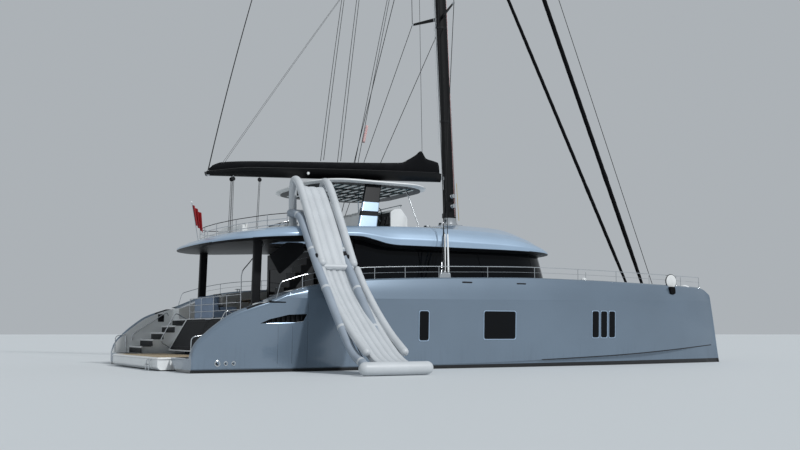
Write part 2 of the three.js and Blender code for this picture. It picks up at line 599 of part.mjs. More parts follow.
// Fore part: the cross beam between the bows, the centre spine with its sprit, and a net each side of it.
const BEAM = { x: 10850, z: 2640, radius: 190 };
const SPINE = { half: 180, z: [2640, 2940], from: DECK_FRONT_X + GAP, to: 12650 };
function foreBeam() {
  const reach = innerY(BEAM.x + 200) - 10;
  const cross = bar([[BEAM.x, -reach, BEAM.z], [BEAM.x, reach, BEAM.z]], BEAM.radius, 12);
  const spine = prism([[SPINE.from, 2560], [SPINE.to - 500, SPINE.z[0] + 60], [SPINE.to, SPINE.z[1] - 120],
    [SPINE.to, SPINE.z[1]], [SPINE.from, SPINE.z[1]]], 'y', -SPINE.half, SPINE.half);
  return join(cross, spine);
}

const NET = { x: [5700, 7000, 8000, 9000, 9800, 10500], z: [2800, 2830], margin: 60 };
function net(side) {
  const inner = side * (SPINE.half + NET.margin);
  const outer = NET.x.map((x) => [x, side * (innerY(x) - NET.margin)]);
  const outline = [[NET.x[0], inner], ...outer, [NET.x[NET.x.length - 1], inner]];
  if (side > 0) outline.reverse();
  return prism(outline, 'z', ...NET.z);
}

// Rig
const mastX = (z) => MAST_FOOT.x - MAST_LEAN * (z - MAST_FOOT.z);
const SPREADERS = [{ z: 14800, reach: 1700 }, { z: 22600, reach: 1350 }];
function mast() {
  const ring = (z, chord, width) => Array.from({ length: 16 }, (_, i) => {
    const a = (2 * Math.PI * i) / 16;
    return [mastX(z) + chord * Math.cos(a), width * Math.sin(a), z];
  });
  const spar = skin([ring(MAST_FOOT.z, 285, 165), ring(24000, 270, 155), ring(31500, 210, 125),
    ring(MAST_TOP_Z, 130, 90)], [0, 1]);
  const arms = SPREADERS.flatMap(({ z, reach }) => [1, -1].map((side) => bar(
    [[mastX(z), 0, z], [mastX(z) - 420, side * reach, z + 120]], [85, 38], 8)));
  const foot = box([MAST_FOOT.x - 400, MAST_FOOT.x + 400], [-330, 330], [MAST_FOOT.z, MAST_FOOT.z + 60]);
  const gooseneck = box([BOOM_PIVOT_X + 65, mastX(7700)], [-70, 70], [7720, 7860]);
  return join(spar, foot, gooseneck, ...arms);
}

// Points along the boom are measured aft from its pivot, square to the leaning mast.
const boomAt = (aft, up) => [BOOM_PIVOT_X - aft - up * MAST_LEAN, BOOM_PIVOT_Z + up - aft * MAST_LEAN];
const BOOM_ROWS = [ // aft, half-width, height
  [60, 120, 330], [400, 260, 360], [2500, 330, 360], [8500, 300, 320], [10350, 140, 150],
];
function boomTop(aft) {
  const i = Math.max(1, BOOM_ROWS.findIndex((row) => row[0] >= aft));
  const [a, b] = [BOOM_ROWS[i - 1], BOOM_ROWS[i]];
  return a[2] + ((aft - a[0]) / (b[0] - a[0])) * (b[2] - a[2]);
}

function boom() {
  const section = ([aft, half, high]) => {
    const [x, z] = boomAt(aft, 0);
    return [[-half * 0.3, 0], [half * 0.3, 0], [half, high], [-half, high]]
      .map(([y, h]) => [x - h * MAST_LEAN, y, z + h]);
  };
  const pin = bar([0, 1].map((end) => {
    const [x, z] = boomAt(0, 90 + 160 * end);
    return [x, 0, z];
  }), 55, 12);
  const neck = box([BOOM_PIVOT_X - 120, BOOM_PIVOT_X - 5], [-40, 40], [7720, 7850]);
  return join(skin(BOOM_ROWS.map(section), [1, 2]), pin, neck);
}

// The lowered mainsail in its bag along the boom, rising to the head of the sail near the mast.
const BAG_ROWS = [ // aft, half-width, height
  [150, 120, 800], [400, 125, 850], [700, 130, 900], [1000, 130, 1330], [1350, 170, 1040],
  [2500, 290, 900], [6000, 300, 850], [8500, 270, 740], [9900, 170, 480], [10200, 60, 330],
];
function sailBag() {
  const section = ([aft, half, high]) => {
    const base = boomTop(aft) + GAP;
    const [x, z] = boomAt(aft, 0);
    const up = (share) => base + share * (high - base);
    const side = [[half, up(0)], [half * 1.05, up(0.35)], [half * 0.75, up(0.75)], [half * 0.2, up(1)]];
    const ring = [[-half, up(0)], ...side, ...side.slice(1).reverse().map(([y, h]) => [-y, h])];
    return ring.map(([y, h]) => [x - h * MAST_LEAN, y, z + h]);
  };
  return skin(BAG_ROWS.map(section), [1, 2]);
}

// A furled headsail on its stay, from its drum on the spine up to the mast.
function furledSail(foot, head, radius, clew) {
  const at = (share) => foot.map((v, i) => v + share * (head[i] - v));
  const roll = bar([0.015, 0.03, 0.12, clew, clew + 0.012, 0.5, 0.85, 0.97].map(at),
    [45, radius * 0.7, radius, radius * 1.15, radius, radius * 0.95, radius * 0.6, 30], 10);
  const wire = bar([at(0), at(1)], 16, 8);
  const drum = bar([at(0.009), at(0.016)], 120, 12);
  return join(roll, wire, drum);
}

const STAY_FOOT_Z = SPINE.z[1] - 30; // inside the spine, which trims them
const GENOA = { foot: [11930, 0, STAY_FOOT_Z], head: [mastX(30900) + 235, 0, 30900] };
const STAYSAIL = { foot: [11020, 0, STAY_FOOT_Z], head: [mastX(23300) + 290, 0, 23300] };
const SPRIT_STAY = { foot: [12560, 0, STAY_FOOT_Z], head: [mastX(34500) + 160, 0, 34500] };

// Shrouds of one side with the chainplate that they share. Two have a cover over their turnbuckles.
const CHAINPLATE = { x: -2500, inset: 130, half: [260, 22], head: DECK_Z + 420 };
const SHROUD = { apart: 150, footZ: DECK_Z + 380, low: 14300, middle: 22300, top: 31200 };
const COVER = { height: 1500, radius: 38, towards: 11000 };
function shrouds(side) {
  const { x } = CHAINPLATE;
  const y = side * (railY(x) - CHAINPLATE.inset);
  const [along, across] = CHAINPLATE.half;
  const plate = box([x - along, x + along], [y - across, y + across], [DECK_Z + GAP, CHAINPLATE.head]);
  const foot = (apart) => [x + apart, y, SHROUD.footZ];
  const onMast = (z, off) => [mastX(z) - 40, side * off, z];
  const tips = SPREADERS.map(({ z, reach }) => [mastX(z) - 430, side * (reach + 60), z + 125]);
  const lines = [
    bar([foot(SHROUD.apart), onMast(SHROUD.low, 172)], 15, 6),
    bar([foot(0), onMast(SHROUD.middle, 172)], 17, 6),
    bar([foot(-SHROUD.apart), ...tips, onMast(SHROUD.top, 140)], 15, 6),
  ];
  const covers = [SHROUD.apart, 0].map((apart) => {
    const from = foot(apart);
    const to = onMast(SHROUD.low, 172);
    const share = COVER.height / COVER.towards;
    const [headX, headY] = [0, 1].map((k) => from[k] + share * (to[k] - from[k]));
    return bar([from, [headX, headY, from[2] + COVER.height]], COVER.radius, 8);
  });
  return join(plate, ...lines, ...covers);
}

// Boarding slide from the flybridge's starboard rim to the water: inflated tubes and a bed, in the plane
// across the boat.
const SLIDE = { x: [-7620, -6180], tube: 145, crossbar: 110 };
const SLIDE_PATHS = { // [y, z] along each kind of tube
  arch: [[-3180, FLY_FLOOR_Z + 30], [-3110, 6150], [-3230, 6700], [-3560, 6640], [-4000, 6150],
    [-5800, 3470]],
  beam: [[-3150, 5550], [-4350, 5330], [-8750, 330], [-9500, 230]],
  rail: [[-5720, 3330], [-9250, 640]],
  crossbars: [[-3150, 5550], [-3180, 6300], [-5900, 3440]],
  bed: [[-3500, 6080], [-5760, 3400], [-9200, 600], [-9780, 300], [-9750, 190], [-9100, 410],
    [-5700, 3280], [-3440, 5960]],
};
const SLIDE_PAD = { y: [-9700, -9750], z: 215, radius: 205, past: [640, 300] }; // the float at its foot
function slide() {
  const at = (x) => ([y, z]) => [x, y, z];
  const parts = [];
  for (const x of SLIDE.x) {
    parts.push(bar(SLIDE_PATHS.arch.map(at(x)), SLIDE.tube, 10));
    parts.push(bar(SLIDE_PATHS.beam.map(at(x)), SLIDE.tube, 10));
    parts.push(bar(SLIDE_PATHS.rail.map(at(x)), SLIDE.tube * 0.93, 10));
  }
  for (const [y, z] of SLIDE_PATHS.crossbars) {
    parts.push(bar(SLIDE.x.map((x) => [x, y, z]), SLIDE.crossbar, 8));
  }
  const [aft, fore] = SLIDE.x;
  const { y: [endY, middleY], z, past: [endPast, middlePast] } = SLIDE_PAD;
  const pad = [[aft - endPast, endY, z], [aft - middlePast, middleY, z], [fore + middlePast, middleY, z],
    [fore + endPast, endY, z]];
  parts.push(bar(pad, SLIDE_PAD.radius, 12));
  return join(prism(SLIDE_PATHS.bed, 'x', aft + 60, fore - 60), ...parts);
}

// Flag on its staff at the back of the flybridge
const FLAG = {
  y: 420, footX: -9900, head: [-10180, 6150],
  cloth: [[-10190, 6100], [-10150, 5700], [-10320, 5180], [-10000, 5300], [-9890, 5700], [-10060, 6080]],
};
function ensign() {
  const foot = [FLAG.footX, FLAG.y, roofEdgeZ(FLAG.footX) - SUNK];
  const staff = bar([foot, [FLAG.head[0], FLAG.y, FLAG.head[1]]], 18, 6);
  return join(staff, prism(FLAG.cloth, 'y', FLAG.y - 10, FLAG.y + 10));
}

// Foredeck lockers with a lid each
const LID = { x: [4450, 5250], y: [1200, 2400] };
const lockerLid = (side) => box(LID.x, onSide(LID.y, side), [DECK_Z + 6, DECK_Z + 46]);

// Assembly
const boat = new THREE.Group();
function add(name, body, look) {
  const m = body.getMesh();
  const stride = m.numProp;
  const positions = new Float32Array(m.numVert * 3);
  for (let i = 0; i < m.numVert; i++) {
    positions.set(m.vertProperties.subarray(i * stride, i * stride + 3), i * 3);
  }
  const g = new THREE.BufferGeometry();
  g.setAttribute('position', new THREE.BufferAttribute(positions, 3));
  g.setIndex(new THREE.BufferAttribute(new Uint32Array(m.triVerts), 1));
  g.computeVertexNormals();
  const mesh = new THREE.Mesh(g, new THREE.MeshStandardMaterial(look));
  mesh.name = name;
  boat.add(mesh);
}

const SIDES = [['port', 1], ['starboard', -1]];
const portHull = hull();
const roof = coachroof();
const spine = foreBeam();
const under = (body, above) => cut(body, above).translate([0, 0, -GAP]);
const upon = (body, below) => cut(body, below).translate([0, 0, GAP]);
const mirroredPairs = [
  ['hull', portHull, PAINT], ['keel', under(stubKeel(), portHull), DARK], ['rudder', rudder(), DARK],
  ['shaft', under(shaftLine(), portHull), STEEL], ['propeller', propeller(), BRONZE],
  ['guard_rail', upon(guardRail(), portHull), STEEL],
];
for (const [place, side] of SIDES) {
  for (const [name, body, look] of mirroredPairs) {
    add(`${name}_${place}`, side > 0 ? body : mirrored(body), look);
  }
  add(`net_${place}`, net(side), CLOTH);
  add(`shrouds_${place}`, shrouds(side), CARBON);
  add(`cockpit_post_${place}`, under(cockpitPost(side), roof), DARK);
  add(`hardtop_leg_${place}`, hardtopLeg(side), DARK);
  add(`hardtop_strut_${place}`, hardtopStrut(side), STEEL);
  add(`saloon_aft_window_${place}`, aftWindow(side), GLASS);
  add(`locker_lid_${place}`, lockerLid(side), PAINT);
}
add('bridge_deck', bridgeDeck(), PAINT);
add('garage_door', garageDoor(), DARK);
add('swim_platform', swimPlatform(), TEAK);
add('swim_ladder', swimLadder(), STEEL);
add('saloon_frame', under(saloonFrame(), roof), DARK);
add('saloon_glass', under(saloonGlass(), roof), GLASS);
add('saloon_aft_wall', under(saloonAftWall(), roof), DARK);
add('saloon_door', saloonDoor(), GLASS);
add('coachroof', roof, PAINT);
add('hardtop', hardtop(), WHITE);
add('helm_console', helmConsole(), PAINT);
add('helm_wheel', helmWheel(), STEEL);
add('helm_seat', bench(HELM_SEAT), WHITE);
add('flybridge_sofa', bench(FLY_SOFA), CUSHION);
add('flybridge_bar', flybridgeBar(), WHITE);
add('flybridge_rail', upon(flybridgeRail(), roof), STEEL);
add('cockpit_rail', cockpitRail(), STEEL);
add('cockpit_sofa', bench(COCKPIT_SOFA), CUSHION);
add('cockpit_table', cockpitTable(), TEAK);
add('flybridge_stairs', flybridgeStairs(), DARK);
add('fore_beam', spine, PAINT);
add('mast', mast(), CARBON);
add('boom', boom(), CARBON);
add('sail_bag', sailBag(), CLOTH);
add('genoa', upon(furledSail(GENOA.foot, GENOA.head, 100, 0.2), spine), CARBON);
add('staysail', upon(furledSail(STAYSAIL.foot, STAYSAIL.head, 78, 0.24), spine), CARBON);
add('sprit_stay', upon(bar([SPRIT_STAY.foot, SPRIT_STAY.head], 14, 8), spine), CARBON);
add('slide', upon(slide(), roof), TUBE_FABRIC);
add('ensign', upon(ensign(), roof), RED);

export default boat;
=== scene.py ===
"""The finish, the fine shapes and the soft goods of a large sailing catamaran, made around its packed frame.

Lengths are in metres, in the frame's own axes: +X to the bow, +Y to port, +Z up from the water's surface.
Each shape is a grid of points worked out with numpy, as its function's docstring says in words.
"""
import functools
import math

import bmesh
import bpy
import numpy as np
from bpy.props import FloatProperty, FloatVectorProperty, IntProperty, PointerProperty
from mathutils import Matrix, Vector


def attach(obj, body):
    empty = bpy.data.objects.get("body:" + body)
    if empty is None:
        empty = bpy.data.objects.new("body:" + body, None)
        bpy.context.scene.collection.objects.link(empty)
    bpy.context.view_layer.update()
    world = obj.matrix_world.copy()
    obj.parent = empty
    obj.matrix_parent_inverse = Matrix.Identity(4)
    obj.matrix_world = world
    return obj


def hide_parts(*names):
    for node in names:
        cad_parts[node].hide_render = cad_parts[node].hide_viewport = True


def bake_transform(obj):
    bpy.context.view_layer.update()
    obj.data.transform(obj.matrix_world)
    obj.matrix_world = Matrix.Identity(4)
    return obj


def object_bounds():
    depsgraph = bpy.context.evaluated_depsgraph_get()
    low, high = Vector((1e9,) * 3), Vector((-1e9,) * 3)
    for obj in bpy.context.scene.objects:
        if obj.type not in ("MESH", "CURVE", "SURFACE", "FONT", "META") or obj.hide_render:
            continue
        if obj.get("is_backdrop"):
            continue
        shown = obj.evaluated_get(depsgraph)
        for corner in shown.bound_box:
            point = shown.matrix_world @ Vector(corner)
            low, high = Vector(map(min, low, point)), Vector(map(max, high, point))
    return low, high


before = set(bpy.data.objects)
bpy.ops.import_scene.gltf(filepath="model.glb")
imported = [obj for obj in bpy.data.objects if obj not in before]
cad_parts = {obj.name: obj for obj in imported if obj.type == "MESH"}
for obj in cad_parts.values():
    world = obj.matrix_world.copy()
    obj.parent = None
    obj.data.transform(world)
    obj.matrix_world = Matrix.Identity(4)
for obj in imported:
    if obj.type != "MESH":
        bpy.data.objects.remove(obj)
CAD_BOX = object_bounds()

bl_info = {
    "name": "Sailing catamaran",
    "version": (1, 0, 0),
    "blender": (4, 5, 0),
    "location": "View3D > Sidebar > Catamaran",
    "description": "Dresses the packed catamaran: hulls, deckhouse, rig, slide and cushions",
    "category": "Add Mesh",
}

# Driving sizes, as the frame has them
AFT_X = -11.87
BOW_X = 11.77
STEM_RAKE = 0.165  # how far the stem leans aft for each metre of height
HULL_CENTRE = 4.575
DECK_Z = 3.0
FLOOR_Z = 1.8
PLATFORM_Z = 0.45
INNER_Y = 3.2
WELL_Y = 4.25
WING_INNER_Y = 5.18
STEPS = 5
STEP_X = -11.2
STEP_RUN = 0.44
STEP_RISE = (FLOOR_Z - PLATFORM_Z) / STEPS
COCKPIT_AFT_X = STEP_X + (STEPS - 1) * STEP_RUN
SALOON_AFT_X = -5.6
WELL_FRONT_X = 3.1
FLY_FLOOR_Z = 4.78
ROOF_HALF = 4.55
MAST_X = 1.0
MAST_FOOT_Z = 5.74
MAST_TOP_Z = 34.9
MAST_LEAN = 0.0473
PIVOT_X = 0.56
PIVOT_Z = 7.62
SIDES = (("port", 1), ("starboard", -1))
FAR = 12.0  # past the boat's side, for cutters
SKY_Z = 6.0  # above all that is cut out of the hulls
CLEAR = 0.0008  # gap between a piece and the surface that it stands on


# Colours and sizes that a user would change
def tint(code):
    """The colour of a web code such as "8d9ba6", as the linear values that shaders read."""
    value = np.array([int(code[i:i + 2], 16) for i in (0, 2, 4)]) / 255
    linear = np.where(value <= 0.04045, value / 12.92, ((value + 0.055) / 1.055) ** 2.4)
    return tuple(float(v) for v in linear)


def colour_of(name, code, description):
    """A colour property with its default."""
    return FloatVectorProperty(name=name, description=description, default=tint(code), subtype="COLOR",
                               min=0, max=1)


def size_of(name, value, description):
    """A length property in metres with its default."""
    return FloatProperty(name=name, description=description, default=value, unit="LENGTH", min=0)


class CatamaranFinishes(bpy.types.PropertyGroup):
    """Colours of the boat's finishes"""
    paint: colour_of("Hull paint", "6c7c8c", "Metallic paint of the hulls, the roof moulding and the lids")
    gelcoat: colour_of("White gelcoat", "dfe2e3", "Inner faces of the wings, the wells and the hardtop")
    nonskid: colour_of("Nonskid", "c9ced0", "Grained deck paint")
    teak: colour_of("Teak", "a8977b", "Weathered deck planks")
    charcoal: colour_of("Charcoal", "131518", "Satin mouldings, posts and stairs")
    canvas: colour_of("Canvas", "0a0b0e", "Sail bag and sail covers")
    cushion: colour_of("Cushion cloth", "7c90ab", "Woven covers of the seats")
    inflated: colour_of("Slide fabric", "bcc1c5", "Coated fabric of the boarding slide")
    flag: colour_of("Ensign", "b51c24", "Bunting of the flag")


class CatamaranHull(bpy.types.PropertyGroup):
    """Sizes of the hulls"""
    sections: IntProperty(name="Sections", description="Sections from transom to stem", default=170, min=40)
    boot: size_of("Boot stripe", 0.1, "Height of the black stripe above the water, aft")
    window_proud: size_of("Window height", 0.006, "How far the hull windows stand off the side")


class CatamaranRig(bpy.types.PropertyGroup):
    """Sizes of the rig"""
    rope: size_of("Rope radius", 0.009, "Half the thickness of the running lines")
    wrap: size_of("Furling pitch", 0.62, "Height of one turn of a furled headsail")


class CatamaranCushions(bpy.types.PropertyGroup):
    """How the cushions are filled"""
    voxel: size_of("Voxel", 0.024, "Cell of the cloth that a cushion is swollen from")
    pressure: FloatProperty(name="Pressure", description="Air pressure inside a cushion", default=4.0, min=0)
    swell: size_of("Swell", 0.028, "Most that a point of a cushion may move")


class CatamaranStage(bpy.types.PropertyGroup):
    """The floor and the lights"""
    floor: size_of("Floor radius", 420.0, "Half the width of the pale floor at the waterline")
    floor_colour: colour_of("Floor", "c9ced1", "Pale, matt floor")
    sky_colour: colour_of("Sky", "dfe6ec", "Even light from all round")
    sky: FloatProperty(name="Sky strength", description="Strength of the even light", default=0.56, min=0)
    sun: FloatProperty(name="Key strength", description="Strength of the soft key light", default=2.3, min=0)


# Curves and outlines
def through(rows):
    """A curve through [key, value] rows that never overshoots: a cubic between each two rows, whose slope at
    a row is the harmonic mean of the slopes beside it, or 0 where these differ in sign."""
    key, value = np.array(rows, float).T
    slope = np.diff(value) / np.diff(key)
    rising = slope[:-1] * slope[1:] > 0
    total = np.where(rising, slope[:-1] + slope[1:], 1)
    middle = np.where(rising, 2 * slope[:-1] * slope[1:] / total, 0)
    tangent = np.concatenate([slope[:1], middle, slope[-1:]])

    def curve(x):
        x = np.clip(x, key[0], key[-1])
        i = np.clip(np.searchsorted(key, x, side="right") - 1, 0, len(slope) - 1)
        h = key[i + 1] - key[i]
        t = (x - key[i]) / h
        return ((2 * t ** 3 - 3 * t ** 2 + 1) * value[i] + (t ** 3 - 2 * t ** 2 + t) * h * tangent[i]
                + (3 * t ** 2 - 2 * t ** 3) * value[i + 1] + (t ** 3 - t ** 2) * h * tangent[i + 1])
    return curve


def rounded(points, radii, steps=4, closed=True):
    """Outlines with their corners turned into arcs. Between a and b, each at the corner's radius along its
    two legs but at most at .48 of them, q(t) = (1-t)^2 a + 2t(1-t) corner + t^2 b."""
    points = np.asarray(points, float)
    radii = np.broadcast_to(np.asarray(radii, float), points.shape[:-1])[..., None]

    def on_leg(other):
        leg = other - points
        length = np.maximum(np.linalg.norm(leg, axis=-1, keepdims=True), 1e-9)
        return points + leg * np.minimum(0.48, radii / length)

    a = on_leg(np.roll(points, 1, axis=-2))[..., None, :]
    b = on_leg(np.roll(points, -1, axis=-2))[..., None, :]
    t = np.linspace(0, 1, steps + 1)[:, None]
    arcs = (1 - t) ** 2 * a + 2 * t * (1 - t) * points[..., None, :] + t ** 2 * b
    line = arcs.reshape(*points.shape[:-2], -1, points.shape[-1])
    if closed:
        return line
    line = line[..., steps:line.shape[-2] - steps, :]
    line[..., 0, :] = points[..., 0, :]
    line[..., -1, :] = points[..., -1, :]
    return line


def even(points, count):
    """The same line with its points at even steps of its length."""
    points = np.asarray(points, float)
    length = np.concatenate([[0], np.cumsum(np.linalg.norm(np.diff(points, axis=0), axis=1))])
    at = np.linspace(0, length[-1], count)
    return np.stack([np.interp(at, length, points[:, k]) for k in range(points.shape[1])], 1)


def rectangle(low, high, radius=0.0, steps=5):
    """A rectangle in a plane, from its low to its high corner, with round corners."""
    (a, b), (c, d) = low, high
    corners = [[a, b], [c, b], [c, d], [a, d]]
    return rounded(corners, radius, steps) if radius else np.array(corners, float)


# Shapes
class Shape:
    """Points and the faces between them."""

    def __init__(self, points, faces):
        self.points = np.asarray(points, float).reshape(-1, 3)
        self.faces = faces

    def __add__(self, other):
        start = len(self.points)
        moved = [[i + start for i in face] for face in other.faces]
        return Shape(np.concatenate([self.points, other.points]), self.faces + moved)

    def moved(self, x=0.0, y=0.0, z=0.0):
        return Shape(self.points + (x, y, z), self.faces)

    def mirrored(self, side=-1):
        """The shape on the other side of the boat, or the shape itself where side is 1."""
        if side > 0:
            return self
        return Shape(self.points * (1, -1, 1), [face[::-1] for face in self.faces])

    def turned(self, axis, angle):
        """The shape turned about an axis 0, 1 or 2."""
        i, j = (axis + 1) % 3, (axis + 2) % 3
        turn = np.eye(3)
        turn[i, i] = turn[j, j] = math.cos(angle)
        turn[i, j], turn[j, i] = -math.sin(angle), math.sin(angle)
        return Shape(self.points @ turn.T, self.faces)


def joined(shapes):
    """All the shapes as one."""
    return functools.reduce(lambda a, b: a + b, shapes)


def skin(rings, caps=True, closed=True, loop=False):
    """A surface through rings of points: quads between each two rings and along them, closed round each ring
    and, with loop, from the last ring to the first; else with a flat cap at both ends."""
    rings = np.asarray(rings, float)
    rows, count = rings.shape[:2]
    r, c = np.meshgrid(np.arange(rows if loop else rows - 1), np.arange(count if closed else count - 1),
                       indexing="ij")
    n, up = (c + 1) % count, (r + 1) % rows
    quads = np.stack([r * count + c, r * count + n, up * count + n, up * count + c], -1)
    faces = quads.reshape(-1, 4).tolist()
    if caps and not loop:
        faces.append(list(range(count))[::-1])
        faces.append(list(range((rows - 1) * count, rows * count)))
    return Shape(rings, faces)


def carried(outline, axis, low, high):
    """A flat outline carried along an axis, from low to high. Along 0 its pairs are y and z, along 1 x and z,
    along 2 x and y."""
    outline = np.asarray(outline, float)
    rings = np.empty((2, len(outline), 3))
    rings[..., [k for k in range(3) if k != axis]] = outline
    rings[0, :, axis] = low
    rings[1, :, axis] = high
    return skin(rings)


def block(x, y, z):
    """A box between the two values given for each axis."""
    return carried(rectangle((x[0], y[0]), (x[1], y[1])), 2, *z)


def tube(path, radius, sides=10, loop=False, flat=1.0):
    """A bar along a path: p(s, a) = path(s) + r(s) (u cos a + v sin a), where v is square to the path and to
    the axis along which the path runs least, and u to both. flat makes u longer or shorter."""
    path = np.asarray(path, float)
    if loop:
        along = np.roll(path, -1, axis=0) - np.roll(path, 1, axis=0)
    else:
        along = np.gradient(path, axis=0)
    along /= np.maximum(np.linalg.norm(along, axis=1, keepdims=True), 1e-9)
    least = np.eye(3)[np.argmin(np.ptp(path, axis=0))]
    v = np.cross(least, along)
    v /= np.maximum(np.linalg.norm(v, axis=1, keepdims=True), 1e-9)
    u = np.cross(along, v)
    angle = once_round(sides)
    size = np.broadcast_to(np.asarray(radius, float), len(path))[:, None, None]
    around = (np.cos(angle)[None, :, None] * u[:, None] * flat + np.sin(angle)[None, :, None] * v[:, None])
    return skin(path[:, None] + size * around, loop=loop)


def bent(points, bend, radius, sides, steps=5):
    """A bar along an open line, whose corners are turned into arcs first."""
    return tube(rounded(points, bend, steps, False), radius, sides)


def bladder(path, radius, sides=24):
    """An inflated tube with domed ends: the radius falls to nothing as r sqrt(1 - t^2) over each end."""
    path = np.asarray(path, float)
    t = np.sin(np.linspace(0, math.pi / 2, 7)[:-1])

    def dome(tip, inner):
        back = radius * (tip - inner) / np.linalg.norm(tip - inner)
        return tip - back + back * t[:, None]

    first, last = dome(path[0], path[1])[::-1], dome(path[-1], path[-2])
    shrink = np.sqrt(1 - t ** 2)
    size = np.concatenate([shrink[::-1], np.ones(len(path) - 2), shrink]) * radius
    return tube(np.concatenate([first, path[1:-1], last]), size, sides)


def lathe(profile, sides=24, axis=2, at=(0, 0, 0)):
    """A profile of [radius, height] pairs turned round an axis through a point."""
    profile = np.asarray(profile, float)
    angle = once_round(sides)
    radius = np.maximum(profile[:, :1], 1e-5)
    rings = np.empty((len(profile), sides, 3))
    rings[..., (axis + 1) % 3] = radius * np.cos(angle)
    rings[..., (axis + 2) % 3] = radius * np.sin(angle)
    rings[..., axis] = profile[:, 1:]
    return skin(rings + np.asarray(at, float))


def plate(outline, place, low, high, edge=0.6):
    """A thin plate on a surface: rings of its outline drawn in towards its middle, each point put in place by
    p = place(u, v, off), from off = low at the back to high at the front."""
    outline = np.asarray(outline, float)
    middle = (outline.min(0) + outline.max(0)) / 2
    rings = [place(*outline.T, low), place(*outline.T, low + edge * (high - low))]
    for share in (0.985, 0.6, 0.2):
        rings.append(place(*(middle + (outline - middle) * share).T, high))
    return skin(rings)


def border(outline, width, place, low, high):
    """A frame round an outline on a surface, a closed band of four rings."""
    outline = np.asarray(outline, float)
    middle = (outline.min(0) + outline.max(0)) / 2
    half = (outline.max(0) - outline.min(0)) / 2
    outer = middle + (outline - middle) * (1 + width / half)
    rings = [place(*outer.T, low), place(*outer.T, high), place(*outline.T, high), place(*outline.T, low)]
    return skin(rings, loop=True)


def once_round(count):
    """Angles at even steps once round, from 0."""
    return np.linspace(0, 2 * math.pi, count + 1)[:-1]


def spots(x, y, z):
    """Points from their coordinates, each an array or one number."""
    return np.stack(np.broadcast_arrays(x, y, z), -1)


def on_floor(z, up=1):
    """A place function for plates that lie on a level surface, or hang under it where up is -1."""
    return lambda u, v, off: spots(u, v, z + up * off)


# Objects
def as_mesh(name, shape):
    """A mesh of one shape with its doubled points merged and its faces turned outwards."""
    mesh = bpy.data.meshes.new(name)
    mesh.from_pydata(shape.points.tolist(), [], shape.faces)
    merged = bmesh.new()
    merged.from_mesh(mesh)
    bmesh.ops.remove_doubles(merged, verts=merged.verts, dist=2e-5)
    bmesh.ops.dissolve_degenerate(merged, dist=1e-6, edges=merged.edges)
    bmesh.ops.recalc_face_normals(merged, faces=merged.faces)
    merged.to_mesh(mesh)
    merged.free()
    return mesh


def shape_of(mesh):
    """The shape that a mesh holds."""
    points = np.empty(len(mesh.vertices) * 3)
    mesh.vertices.foreach_get("co", points)
    return Shape(points, [list(polygon.vertices) for polygon in mesh.polygons])


def placed(name, data):
    """A new object of the scene, which shows a mesh, a lamp or a camera."""
    item = bpy.data.objects.new(name, data)
    bpy.context.scene.collection.objects.link(item)
    return item


def carve(shape, *cutters, join=()):
    """The shape with others joined to it and the cutters taken out of it, all of them closed."""
    body = placed("carved", as_mesh("carved", shape))
    spent = [body]
    for others, operation in ((join, "UNION"), (cutters, "DIFFERENCE")):
        for other in others:
            spent.append(placed("cutter", as_mesh("cutter", other)))
            step = body.modifiers.new("cut", "BOOLEAN")
            step.operation = operation
            step.solver = "EXACT"
            step.object = spent[-1]
    mesh = bpy.data.meshes.new_from_object(body.evaluated_get(bpy.context.evaluated_depsgraph_get()))
    result = shape_of(mesh)
    bpy.data.meshes.remove(mesh)
    for item in spent:
        left = item.data
        bpy.data.objects.remove(item)
        bpy.data.meshes.remove(left)
    return result


def piece(name, shapes, finishes, body="yacht", slot=None, replaces=(), bevel=0.0, sharp=32.0, choose=None):
    """One object of the boat, riding on a body. Several shapes take the finishes in turn; with choose, each
    face takes the finish whose number choose(middles, normals) gives."""
    shapes = shapes if isinstance(shapes, list) else [shapes]
    finishes = finishes if isinstance(finishes, list) else [finishes]
    mesh = as_mesh(name, joined(shapes)) if len(finishes) == 1 or choose else None
    if mesh is None:
        mesh = bpy.data.meshes.new(name)
        whole = bmesh.new()
        for number, shape in enumerate(shapes):
            part = as_mesh("part", shape)
            part.polygons.foreach_set("material_index", [number] * len(part.polygons))
            whole.from_mesh(part)
            bpy.data.meshes.remove(part)
        whole.to_mesh(mesh)
        whole.free()
    for finish in finishes:
        mesh.materials.append(finish)
    if choose:
        count = len(mesh.polygons)
        middles, normals = np.empty(count * 3), np.empty(count * 3)
        mesh.polygons.foreach_get("center", middles)
        mesh.polygons.foreach_get("normal", normals)
        chosen = choose(middles.reshape(-1, 3), normals.reshape(-1, 3))
        mesh.polygons.foreach_set("material_index", np.asarray(chosen, int))
    mesh.shade_smooth()
    mesh.set_sharp_from_angle(angle=math.radians(sharp))
    item = placed(name, mesh)
    if bevel:
        edge = item.modifiers.new("edges", "BEVEL")
        edge.width = bevel
        edge.segments = 2
        edge.limit_method = "ANGLE"
        edge.angle_limit = math.radians(40)
        edge.harden_normals = True
    even_light = item.modifiers.new("weighted", "WEIGHTED_NORMAL")
    even_light.keep_sharp = True
    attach(item, body)
    if replaces:
        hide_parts(*([replaces] if isinstance(replaces, str) else replaces))
    return item


def pair(name, shapes, finishes, slot, replaces=None, body=None, **more):
    """The port piece made of these shapes, and its mirror image to starboard. Its name, and those of the node
    that it replaces and of its body, end in port or starboard."""
    for place, side in SIDES:
        piece(f"{name}_{place}", [shape.mirrored(side) for shape in shapes], finishes,
              f"{body}_{place}" if body else "yacht", slot, f"{replaces}_{place}" if replaces else (), **more)


def refinish(node, finish):
    """A better material on a node of the frame that keeps its shape."""
    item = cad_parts[node]
    if item.data.materials:
        item.material_slots[0].material = finish
    else:
        item.data.materials.append(finish)


